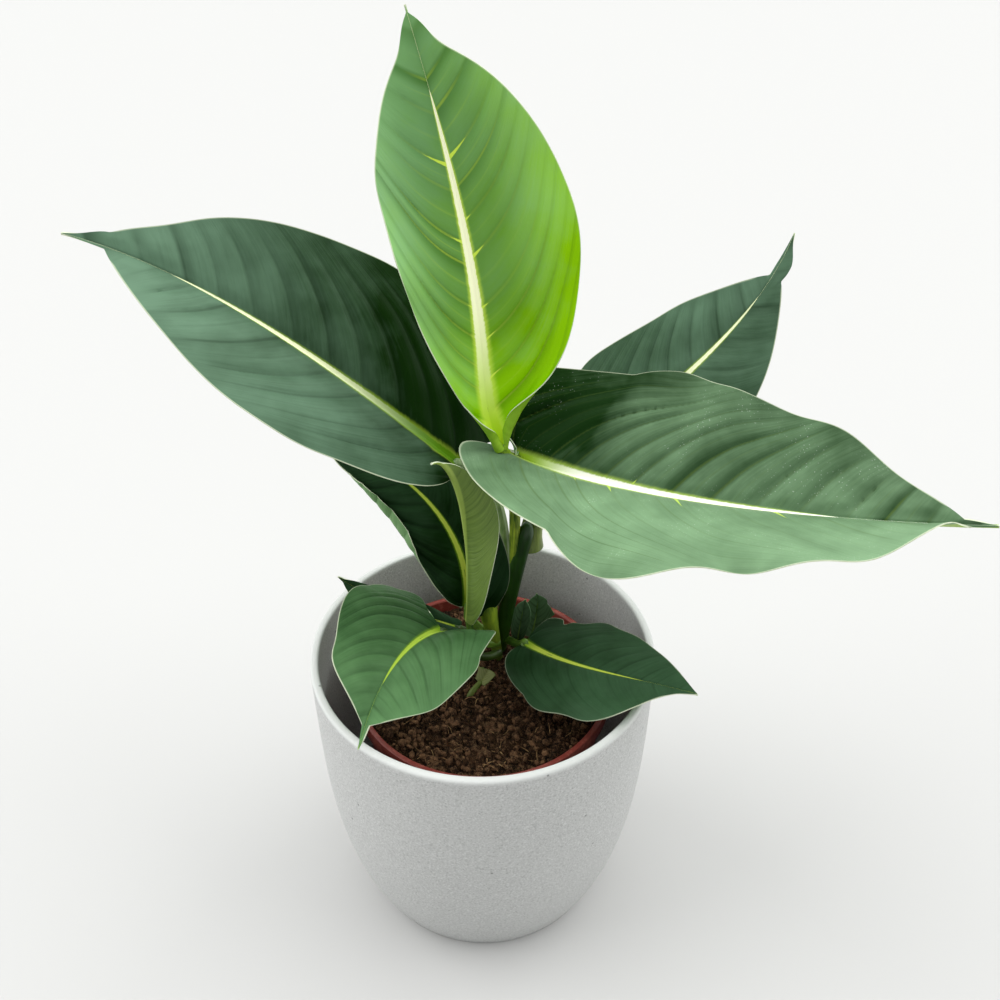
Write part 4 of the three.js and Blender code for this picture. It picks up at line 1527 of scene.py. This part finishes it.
    def rolled(self, data: dict[str, Array], side: Array, s: Array, q: Array) -> Array:
        """Turns the stretches of margin that roll over about their start lines.

        Args:
            data: What surface gives for these points.
            side: 0 on the left and 1 on the right of the midrib.
            s: From 0 at the midrib to 1 at the margin.
            q: From 0 at the base to 1 at the tip.

        Returns:
            The places after the roll.
        """
        places = data["place"]
        for roll in self.form.rolls:
            amount = np.exp(-(((q - roll.middle) / roll.width) ** 2)) * (side == roll.side)
            hinge = self.surface(side, np.minimum(s, roll.start), q)["place"]
            over = smooth(roll.start, 1.0, s) ** 0.8
            angle = np.radians(roll.angle) * amount * over * data["sign"]
            arm, axis = places - hinge, data["along"]
            cos, sin = np.cos(-angle)[..., None], np.sin(-angle)[..., None]
            dot = np.sum(arm * axis, axis=-1, keepdims=True)
            places = hinge + arm * cos + np.cross(axis, arm) * sin + axis * dot * (1 - cos)
        return places

    def blade(self) -> bpy.types.Object:
        """The blade: a grid laid into the leaf's form and given its thickness.

        Returns:
            The blade with its four finishes.
        """
        form = self.form
        deselect()
        bpy.ops.mesh.primitive_grid_add(x_subdivisions=2 * form.columns, y_subdivisions=form.rows, size=2)
        blade = bpy.context.object
        u, v, _ = read_places(blade).T
        side = (u > 0).astype(float)
        s, q = np.abs(u) ** 1.15, (v + 1) / 2
        data = self.surface(side, s, q)
        write_places(blade, self.rolled(data, side, s, q) * MM)
        store(blade, "flow", np.stack([data["vein"], data["sign"] * data["y"], data["x"]], axis=1))
        store(blade, "paint", np.stack([data["rib"], data["margin"], data["tone"]], axis=1))
        store(blade, "spur", data["spur"])
        # the midrib stands out of the lower face and thins towards the tip
        keel = form.rib_depth * (1 - 0.85 * q) * np.exp(-((data["y"] / (1.1 + 1.4 * (1 - q))) ** 2))
        thickness = form.skin * (0.72 + 0.28 * smooth(1.0, 0.6, s)) + keel
        deepest = float(thickness.max())
        group = blade.vertex_groups.new(name="thickness")
        for index, share in enumerate(thickness / deepest):
            group.add([index], float(share), "REPLACE")
        for finish in (self.upper, self.under):
            blade.data.materials.append(finish.material())
        blade.data.materials.append(self.margin_material() if self.upper.rim else self.upper.material())
        blade.data.materials.append(self.stem.material())
        apply_modifier(
            blade, "SOLIDIFY", thickness=deepest * MM, offset=-1.0, vertex_group="thickness",
            material_offset=Face.UNDERSIDE.value, material_offset_rim=Face.MARGIN.value,
        )
        blade.vertex_groups.clear()
        return blade

    def margin_material(self) -> bpy.types.Material:
        """The clear, horny edge that rims the blade.

        Returns:
            The material, which all leaves share.
        """
        known = bpy.data.materials.get("leaf_margin")
        if known:
            return known
        recipe = Recipe("leaf_margin")
        add = recipe.add
        tone = add("TexNoise", {"Vector": add("TexCoord", {}, 3), "Scale": 260.0, "Detail": 2.0})
        colour = add("Mix", {0: tone, 6: linear("a9b98a"), 7: linear("e6ead6")}, 2, **RGBA)
        shader = add("BsdfPrincipled", {"Base Color": colour, "Roughness": 0.45})
        return recipe.finish(shader)

    def petiole(self) -> bpy.types.Object:
        """The petiole, which runs on under the blade and melts into its midrib.

        Returns:
            The petiole, every face of it in the petiole's slot.
        """
        form = self.form
        lead = bezier_points(form.petiole, 60)
        run = np.linspace(0, self.RUN, 24)[1:]
        place, _, normal, _ = self.spine_frame(run)
        taper = 1 - 0.75 * smooth(0.0, self.RUN, run)
        sink = form.petiole_radius[1] * taper * (0.85 + 0.4 * smooth(0.0, 5.0, run))
        line = even_points(np.concatenate([lead, place - normal * sink[:, None]]), self.STALK_STEPS)
        reach = distances(line)
        blade_start = reach[-1] - self.RUN
        share = np.clip(reach / blade_start, 0, 1)
        radii = form.petiole_radius[0] + (form.petiole_radius[1] - form.petiole_radius[0]) * share
        radii = radii * (1 - 0.75 * smooth(blade_start, reach[-1], reach))
        channel = 0.32 * smooth(0.0, 0.2, share) * smooth(blade_start + 4, blade_start - 4, reach)
        facing = self.spine_frame(np.array([0.0]))[2][0]
        stalk = tube(line, radii, self.STALK_SIDES, form.name + "_petiole", channel, facing)
        finishes = np.full(len(stalk.data.polygons), Face.PETIOLE.value)
        stalk.data.polygons.foreach_set("material_index", finishes)
        return stalk

    def build(self) -> bpy.types.Object:
        """Makes the leaf and dresses it.

        Returns:
            The piece.
        """
        blade, stalk = self.blade(), self.petiole()
        for finish in blade.data.materials:
            stalk.data.materials.append(finish)
        leaf = join([blade, stalk])
        shade(leaf, 60)
        return place_piece(leaf, self.form.name, self.form.slot, self.form.node)


# ---------------------------------------------------------------- the plant


# The fresh colours of the deep and sage blades hold painted sheen, the grey-green where a blade faces the
# light; each blade's groove colour is painted shade.
DEEP_GREEN = LeafBlade("deep_green_blade", deep="0d2904", fresh_and_sheen="628168", groove="081f05", rib="f8fbd0",
                       rib_edge="8fae33", rib_foot="58860f", rib_fade=75.0, crease=(0.35, 0.65))
SAGE_GREEN = LeafBlade("sage_green_blade", deep="12300a", fresh_and_sheen="7b9c76", groove="15340e", rib="fffff4",
                       rib_edge="b5cf5a", rib_foot="a3c236", rib_fade=30.0, vein_pale=0.08,
                       crease=(0.8, 0.12), dust=0.3)
LIME_GREEN = LeafBlade("lime_green_blade", deep="90c084", fresh_and_sheen="88c000", groove="2a5a0a", rib="ffffd8",
                       rib_edge="c8e050", rib_foot="b4d42c", rib_fade=60.0, vein_pale=0.4, vein_crease_shade=0.25,
                       crease=(0.65, 0.65), middle_shade=0.54, vein_rim=16.0, through=0.16)
LOW_GREEN = LeafBlade("low_green_blade", deep="1a3e16", fresh_and_sheen="66905e", groove="0f290b", rib="b2cf4a",
                      rib_edge="7da32a", rib_foot="8cb12e", vein_gap=8.0, crease=(0.15, 0.5))
SHADE_GREEN = LeafBlade("shade_green_blade", deep="0a2405", fresh_and_sheen="3f6042", groove="061a04", rib="b4c24a",
                        rib_edge="64891c", rib_foot="86a52a", rim=0.3, vein_gap=9.0,
                        crease=(0.2, 0.2))
SMALL_GREEN = LeafBlade("small_leaf_blade", deep="24401c", fresh_and_sheen="5c7a58", groove="1c3012", rib="6f8a48",
                        rib_edge="4f6a30", rib_foot="54702c", rim=0.0, vein_gap=3.0)
DRY_BRACT = LeafBlade("dry_bract", deep="46521f", fresh_and_sheen="a3a774", groove="4a5222", rib="a9ab78",
                      rib_edge="8f9460", rib_foot="77813f", rim=0.0, vein_gap=1.5)
PALE_BACK = LeafUnderside("pale_leaf_back", green="4f7a45", pale="7da36c", rib="a8c468")
OLIVE_BACK = LeafUnderside("olive_leaf_back", green="365010", pale="76903c", rib="8fa548", rib_reach=1.6)
LIME_BACK = LeafUnderside("lime_leaf_back", green="7fae14", pale="a3cb34", rib="8fbc22")
GREEN_STALK = FleshyStem("green_petiole", dark="2c4e10", light="6f9430", foot="24460e")
PALE_STALK = FleshyStem("pale_petiole", dark="54743a", light="a4ba82", foot="24460e")
STRIPED_STALK = FleshyStem("striped_petiole", dark="2a4a08", light="8ea030", foot="24460e", streaks=1.6)
OLIVE_STALK = FleshyStem("olive_petiole", dark="33480f", light="6d7f30", foot="24460e", streaks=0.8)
BASAL_STALK = FleshyStem("basal_petiole", dark="142a04", light="3c561a", foot="2a3c10")
LIME_STALK = FleshyStem("lime_petiole", dark="5d8218", light="93b62c", foot="3b5a14")
CANE_SKIN = FleshyStem("cane_skin", dark="062400", light="1a4202", foot="2e4c0c", foot_height=106.0)
SHEATH_SKIN = FleshyStem("sheath_skin", dark="2c5404", light="8aa424", foot="55641f", foot_height=108.0,
                         roughness=0.5, streaks=0.8)


def leaf_forms() -> list[tuple[LeafForm, LeafBlade, LeafUnderside, FleshyStem]]:
    """Every leaf's form with its finishes, from the youngest to the oldest.

    Returns:
        For each leaf its form, the finishes of its upper and its lower face, and its petiole's.
    """
    return [
        (LeafForm(
            "upright_leaf", "leaf_upright", "young_leaf",
            spine=[(7, 12.2, 211.5), (-4.5, 15.5, 237), (8.7, 24, 250), (-21, 30, 352)],
            face=[(0.4, -0.85, 0.32), (-0.14, -0.87, 0.47)],
            half_width=(27, 37), rise=(1.03, 0.92), fall=(0.91, 0.92), tail=0.015, fold=(22, 20),
            curl=(10, 2), cup=(20, 15),
            petiole=[(12, 21.5, 177), (11, 22.5, 191), (14, 13, 204.5), (7, 12.2, 211.5)],
            petiole_radius=(1.7, 1.8), wave_height=(2.2, 1.4), wave_count=3.5, wave_phase=(0.44, 0.42),
            swells=[Swell(0, 0.94, -3.0, 0.07), Swell(0, 0.7, 1.5, 0.07), Swell(1, 0.94, -4.5, 0.07)],
            rolls=[Roll(0, 0.0, 0.08, 0.5, 165), Roll(1, 0.05, 0.1, 0.7, 170)],
            spurs=[Spur(0, 98, 9), Spur(0, 73, 6), Spur(0, 51, 4), Spur(1, 100, 9), Spur(1, 80, 4),
                   Spur(1, 68, 7), Spur(1, 50, 5), Spur(1, 39, 7), Spur(1, 25, 8)],
            rib_band=(3.4, 2.7), pale_end=0.88, quilt=(1.5, 1.5), tone=(0.6, -0.65, 0.35), seed=3,
        ), LIME_GREEN, LIME_BACK, LIME_STALK),
        (LeafForm(
            "left_leaf", "leaf_left", "dark_leaf",
            spine=[(-9, 16, 202.5), (-50, 16, 241), (-93, 23, 275), (-138, 28, 285)],
            face=[(0.08, -0.3, 0.95), (-0.21, -0.6, 0.77)],
            half_width=(40.6, 45), rise=(0.54, 0.67), fall=(0.91, 1.13), tail=0.096, lobe=(0.0, 0.2),
            fold=(24, 18), curl=(-7, -10),
            petiole=[(8.5, 21.5, 128), (9.5, 24.5, 150), (11.7, 27.5, 188), (-9, 16, 202.5)],
            petiole_radius=(2.6, 1.9), wave_height=(1.0, 1.0), wave_phase=(0.0, 0.3),
            swells=[Swell(0, 0.25, -3.5), Swell(1, 0.72, 2.3), Swell(1, 0.9, 3.8)], rib_band=(2.2, 1.5),
            pale_end=0.82, vein_gap=16.0, quilt=(1.3, 1.3), tone=(0.5, 0.35, 0.0),
            tints_and_painted_light=[TintAndPaintedLight(0, 0.4, 0.7, 0.25, 0.3), TintAndPaintedLight(0, 0.0, 0.2, -0.3, 0.14),
                   TintAndPaintedLight(1, 0.2, 0.6, -0.5, 0.35), TintAndPaintedLight(0, 0.95, 0.4, 0.5, 0.2),
                   TintAndPaintedLight(1, 0.95, 0.4, 0.5, 0.2)],
            seed=5,
        ), DEEP_GREEN, PALE_BACK, PALE_STALK),
        (LeafForm(
            "right_leaf", "leaf_right", "dark_leaf",
            spine=[(13, 13, 207), (63, -19, 207), (109, -42, 219), (160, -45, 219)],
            face=[(-0.07, -0.75, 0.65), (0.08, -0.32, 0.94)],
            half_width=(42.9, 50), rise=(0.74, 1.17), fall=(0.99, 1.05), tail=0.067, lobe=(0.3, 0.213),
            fold=(15, 50), curl=(-22, -18), cup=(30, 62),
            petiole=[(12.8, 20.2, 145), (12.6, 18.7, 160), (12.2, 19, 198), (13, 13, 207)],
            petiole_radius=(2.1, 2.3), wave_height=(3.0, 5.0), wave_count=4.4, wave_phase=(0.13, 0.4),
            swells=[Swell(0, 0.08, -1.4, 0.07), Swell(0, 0.2, 2.0, 0.07), Swell(0, 0.33, 3.6, 0.07),
                    Swell(0, 0.5, -2.5, 0.07), Swell(1, 0.1, -3.0, 0.08), Swell(1, 0.2, 7.0, 0.08),
                    Swell(1, 0.3, 7.0, 0.08), Swell(1, 0.42, 7.0, 0.08), Swell(1, 0.5, -9.5, 0.07),
                    Swell(1, 0.9, -2.6, 0.07)],
            spurs=[Spur(1, 23, 5), Spur(1, 36, 7), Spur(1, 60, 9), Spur(1, 93, 8), Spur(0, 44, 4)],
            rib_band=(2.6, 2.0), pale_end=0.78, foot=(4.0, 2.0), quilt=(2.0, 0.35), tone=(0.6, 0.25, 0.2),
            tints_and_painted_light=[TintAndPaintedLight(1, 0.3, 0.3, 0.3, 0.2), TintAndPaintedLight(0, 0.05, 0.5, -0.9, 0.2), TintAndPaintedLight(0, 0.75, 0.5, -0.3),
                   TintAndPaintedLight(0, 0.3, 0.55, 0.3, 0.12), TintAndPaintedLight(1, 0.96, 0.5, 0.5, 0.1)],
            seed=8,
        ), SAGE_GREEN, PALE_BACK, STRIPED_STALK),
        (LeafForm(
            "back_leaf", "leaf_back", "dark_leaf",
            spine=[(36, 34, 184), (68, 52, 211), (106, 62, 233), (121, 82, 266)],
            face=[(-0.15, -0.69, 0.71), (0.13, -0.75, 0.65)],
            half_width=(28.5, 32), rise=(0.58, 0.52), fall=(0.83, 0.91), tail=0.145, lobe=(0.05, 0.05),
            fold=(7, 8), curl=(-16, -15),
            petiole=[(19.3, 23.3, 158), (17.5, 23.2, 175), (27, 28.5, 183), (36, 34, 184)],
            petiole_radius=(5.0, 2.2),
            swells=[Swell(0, 0.25, 3.3), Swell(0, 0.5, -1.3), Swell(0, 0.72, -1.0), Swell(1, 0.9, 3.6)],
            rib_band=(2.4, 1.6), pale_end=0.84, vein_gap=13.0, tone=(0.4, 0.2, 0.0),
            tints_and_painted_light=[TintAndPaintedLight(0, 0.8, 0.6, 0.4, 0.25)], seed=13,
        ), DEEP_GREEN, PALE_BACK, OLIVE_STALK),
        (LeafForm(
            "inner_left_leaf", "leaf_inner_left", "dark_leaf",
            spine=[(-7, 22, 127), (-5, 35, 156), (-27, 48, 180), (-69, 52, 193)],
            face=[(0.31, -0.88, 0.35), (-0.29, -0.81, 0.52)],
            half_width=(20, 20), rise=(0.68, 0.68), fall=(0.95, 0.95), tail=0.02, lobe=(0.03, 0.03),
            fold=(7, 8), curl=(-16, -15),
            petiole=[(5, 20, 112), (-1, 21.5, 114), (-6.5, 23, 117), (-7, 22, 127)],
            petiole_radius=(1.9, 1.5), rolls=[Roll(0, 0.55, 0.35, 0.8, 150)], rib_band=(1.5, 1.4),
            pale_end=0.8, tone=(0.12, 0.2, -0.1), seed=17,
        ), SHADE_GREEN, PALE_BACK, GREEN_STALK),
        (LeafForm(
            "folded_leaf", "leaf_folded", "dark_leaf",
            spine=[(-6, 12, 128.5), (-3.5, 11.5, 171), (-7.5, -2, 218.5), (-16, -13.5, 221.5)],
            face=[(0.62, -0.78, 0), (0.1, 0.3, 0.83)],
            half_width=(16.5, 17), rise=(0.7, 0.48), fall=(1.15, 1.15), tail=0.06, fold=(64, 40),
            curl=(7, -4), cup=(0, -22), swells=[Swell(1, 0.45, -2.5, 0.15)],
            petiole=[(6, 15, 113), (0, 11, 114.5), (-5.5, 9.5, 119), (-6, 12, 128.5)],
            petiole_radius=(1.9, 1.4), wave_height=(0.5, 0.5), wave_count=2.0, rib_band=(1.0, 0.7),
            quilt=(0.25, 0.25), dents=0.3, rib_depth=1.0, tone=(0.3, 0.2, 0.0), seed=19,
        ), SHADE_GREEN, OLIVE_BACK, GREEN_STALK),
        (LeafForm(
            "low_left_leaf", "leaf_low_left", "low_leaf",
            spine=[(-16, 2, 132), (-28, -14, 145), (-38, -35, 143), (-42, -60, 134)],
            face=[(-0.08, 0.08, 0.99), (0.3, -0.55, 0.75)],
            half_width=(29, 31.2), rise=(0.56, 0.58), fall=(0.82, 1.1), tail=0.126, lobe=(0.189, 0.218),
            fold=(20, 27), curl=(-20, -10),
            petiole=[(6.5, 14, 108.6), (-3, 4, 109), (-10, 7, 122), (-16, 2, 132)],
            petiole_radius=(2, 1.5), wave_height=(1.2, 1.2), wave_count=2.5, wave_phase=(0.1, 0.45),
            swells=[Swell(0, 0.7, 1.7), Swell(1, 0.7, 5.0)], rib_band=(2.0, 1.1), pale_end=0.72,
            vein_gap=9.0, tone=(0.5, 0.25, -0.1), seed=23,
        ), LOW_GREEN, PALE_BACK, BASAL_STALK),
        (LeafForm(
            "low_right_leaf", "leaf_low_right", "low_leaf",
            spine=[(17, 8, 120), (34, -13, 125), (57, -26, 135), (78, -39, 139)],
            face=[(-0.03, -0.39, 0.92), (0.1, -0.08, 0.99)],
            half_width=(25.7, 26.4), rise=(0.64, 1.06), fall=(1.2, 1.53), tail=0.0, lobe=(0.079, 0.098),
            fold=(8, 11), curl=(-26, -28),
            petiole=[(8, 20.5, 110), (13.5, 17, 112), (13, 11, 114), (17, 8, 120)],
            petiole_radius=(1.9, 1.5), wave_height=(0.8, 0.8), wave_count=2.5, wave_phase=(0.1, 0.45),
            swells=[Swell(0, 0.2, -4.0), Swell(0, 0.17, -2.5, 0.012), Swell(0, 0.45, -2.4),
                    Swell(1, 0.45, -3.3), Swell(1, 0.7, 1.9), Swell(1, 0.9, -1.8)],
            rib_band=(1.3, 0.8), pale_end=0.8, vein_gap=9.0, quilt=(0.25, 0.2), tone=(0.42, 0.25, 0.1),
            seed=29,
        ), SHADE_GREEN, PALE_BACK, GREEN_STALK),
        (LeafForm(
            "low_back_left_leaf", "leaf_low_back_left", "dark_leaf",
            spine=[(-10, 23.5, 113.5), (-25, 22, 121), (-45, 19, 132), (-59, 19, 145.5)],
            face=[(0, -0.5, 0.85), (0.1, -0.6, 0.8)],
            half_width=(10, 5), rise=(0.6, 0.6), fall=(0.95, 0.95), tail=0.05, lobe=(0.02, 0.02),
            fold=(12, 12), curl=(-15, -15),
            petiole=[(4, 21, 107.2), (0, 22, 108.7), (-6, 23.3, 111), (-10, 23.5, 113.5)],
            petiole_radius=(1.6, 1.1), rib_band=(0.4, 0.3), rib_depth=1.0, vein_gap=6.0,
            quilt=(0.25, 0.25), dents=0.3, rows=110, columns=24, seed=31,
        ), SHADE_GREEN, PALE_BACK, BASAL_STALK),
        (LeafForm(
            "small_back_leaf", "leaf_small_back", "low_leaf",
            spine=[(14.2, 20, 107), (14.6, 20.5, 114), (16, 22, 122), (17.5, 24, 129)],
            face=[(-0.3, -0.9, 0.3), (-0.2, -0.9, 0.3)],
            half_width=(3.8, 4.0), rise=(0.8, 0.8), fall=(0.7, 0.7), tail=0.04, fold=(25, 25), curl=(0, 0),
            petiole=[(14, 20, 96), (14, 20, 100), (14, 20, 104), (14.2, 20, 107)],
            petiole_radius=(1.2, 0.9), wave_height=(0.2, 0.2), wave_count=1.5, rib_band=(0.4, 0.3),
            rib_depth=0.5, vein_gap=3.0, quilt=(0.1, 0.1), dents=0.1, rows=70, columns=16, seed=37,
        ), SMALL_GREEN, PALE_BACK, GREEN_STALK),
        (LeafForm(
            "small_right_leaf", "leaf_small_right", "dark_leaf",
            spine=[(20.5, 25, 107), (22, 27, 114), (23.5, 28.5, 121), (22.5, 30, 127)],
            face=[(0.1, -0.9, 0.4), (-0.1, -0.9, 0.4)],
            half_width=(5.5, 6.2), rise=(0.6, 0.6), fall=(0.7, 0.6), tail=0.04, fold=(15, 15), curl=(0, 0),
            swells=[Swell(1, 0.25, 1.2, 0.06), Swell(1, 0.45, -1.4, 0.05), Swell(1, 0.62, 1.3, 0.05),
                    Swell(1, 0.8, -1.0, 0.05)],
            petiole=[(20.2, 24.5, 96), (20.2, 24.5, 100), (20.2, 24.5, 104), (20.5, 25, 107)],
            petiole_radius=(1.3, 1), wave_height=(0.3, 0.3), wave_count=1.5, rib_band=(0.4, 0.3),
            rib_depth=0.5, vein_gap=3.0, quilt=(0.1, 0.1), dents=0.1, rows=70, columns=16, seed=41,
        ), SMALL_GREEN, PALE_BACK, GREEN_STALK),
        (LeafForm(
            "dried_bract", "bract_dried", "dried_bract",
            spine=[(-1.5, -1.5, 105.9), (0, 0, 106.7), (1, 1.5, 107.7), (1.8, 2.6, 109.2)],
            face=[(-0.3, -0.6, 0.75), (-0.3, -0.7, 0.6)],
            half_width=(3.4, 3.8), rise=(0.35, 0.35), fall=(0.5, 0.5), tail=-0.3, fold=(25, 25),
            curl=(0, 0), notch=2.5,
            petiole=[(-7, -7, 97), (-6.5, -6.5, 102.5), (-4.5, -4.5, 104.2), (-1.5, -1.5, 105.9)],
            petiole_radius=(1.6, 1.5), wave_height=(0.1, 0.1), wave_count=1.5, rib_band=(0.2, 0.2),
            rib_depth=0.3, vein_gap=1.5, quilt=(0.08, 0.08), dents=0.05, rows=50, columns=12, seed=43,
        ), DRY_BRACT, OLIVE_BACK, SHEATH_SKIN),
    ]


def canes() -> list[Cane]:
    """The two canes of the plant.

    Returns:
        The canes with their finishes.
    """
    return [
        Cane("main_cane", "cane_main", "cane",
             path=[(4, 21.5, 78), (5.5, 21, 108), (10.5, 20.5, 134), (16.6, 19.5, 166)],
             radius=(3.6, 3.2), finish=CANE_SKIN, point=7.0),
        Cane("left_cane", "cane_left", "sheath",
             path=[(8, 15.2, 76), (8.5, 14.8, 104), (2.2, 13.5, 120), (0.5, 20, 140)],
             radius=(1.2, 5.4), flare=2.2, finish=SHEATH_SKIN, point=8.0),
    ]


# ---------------------------------------------------------------- studio


@dataclass
class Studio:
    """The photograph's camera, a pale floor and soft light."""

    camera_place: Point = (6.8, -278.8, 393.0)
    camera_pitch: float = 35.1
    lens: float = 34.2
    sensor: float = 36.0
    floor_size: float = 9000.0
    sky: str = "f2f4f6"
    sky_strength: float = 0.56

    def camera(self) -> None:
        """Puts the camera where the photograph was taken from."""
        data = bpy.data.cameras.new("photograph_view")
        data.lens = self.lens
        data.sensor_width = self.sensor
        data.clip_start = 0.01
        data.clip_end = 50
        camera = bpy.data.objects.new("photograph_view", data)
        bpy.context.scene.collection.objects.link(camera)
        camera.location = Vector(self.camera_place) * MM
        camera.rotation_euler = (math.radians(90 - self.camera_pitch), 0, 0)
        bpy.context.scene.camera = camera

    def floor(self) -> None:
        """Lays the plain pale floor."""
        deselect()
        bpy.ops.mesh.primitive_plane_add(size=self.floor_size * MM, location=(0, 0, 0))
        floor = bpy.context.object
        floor.name = "floor"
        recipe = Recipe("pale_floor")
        shader = recipe.add("BsdfPrincipled", {"Base Color": linear("c0c0be"), "Roughness": 0.9,
                                               "Specular IOR Level": 0.1})
        floor.data.materials.append(recipe.finish(shader))

    def light(self, name: str, place: Point, spread: float, strength: float) -> None:
        """Adds one far, broad light, which lights the whole floor alike.

        Args:
            name: Its name.
            place: The direction that it comes from.
            spread: How wide it looks from the plant, in degrees: the wider, the softer its shadow.
            strength: Its strength in watts for each square metre.
        """
        data = bpy.data.lights.new(name, "SUN")
        data.angle = math.radians(spread)
        data.energy = strength
        lamp = bpy.data.objects.new(name, data)
        bpy.context.scene.collection.objects.link(lamp)
        lamp.rotation_euler = (-Vector(place)).to_track_quat("-Z", "Y").to_euler()

    def build(self) -> None:
        """Sets up the camera, the floor and all lights."""
        self.camera()
        self.floor()
        world = bpy.data.worlds.new("studio")
        world.use_nodes = True
        inputs = world.node_tree.nodes["Background"].inputs
        inputs["Color"].default_value, inputs["Strength"].default_value = linear(self.sky), self.sky_strength
        bpy.context.scene.world = world
        self.light("left_window", (-1.0, 0.1, 0.6), 60, 2.0)
        self.light("right_window", (1.0, 0.2, 0.6), 70, 1.6)
        self.light("skylight", (0.1, 0.2, 1.2), 80, 2.3)
        bpy.context.scene.view_settings.view_transform = "Standard"


def main() -> None:
    """Builds the plant's looks, piece by piece, and the studio round it."""
    logging.basicConfig(level=logging.INFO, format="%(name)s %(message)s")
    Studio().build()
    CoverPot().build()
    NurseryPot().build()
    PottingMix().build()
    for cane in canes():
        cane.build()
    for form, upper, under, stem in leaf_forms():
        Leaf(form, upper, under, stem).build()


if __name__ == "__main__":
    main()
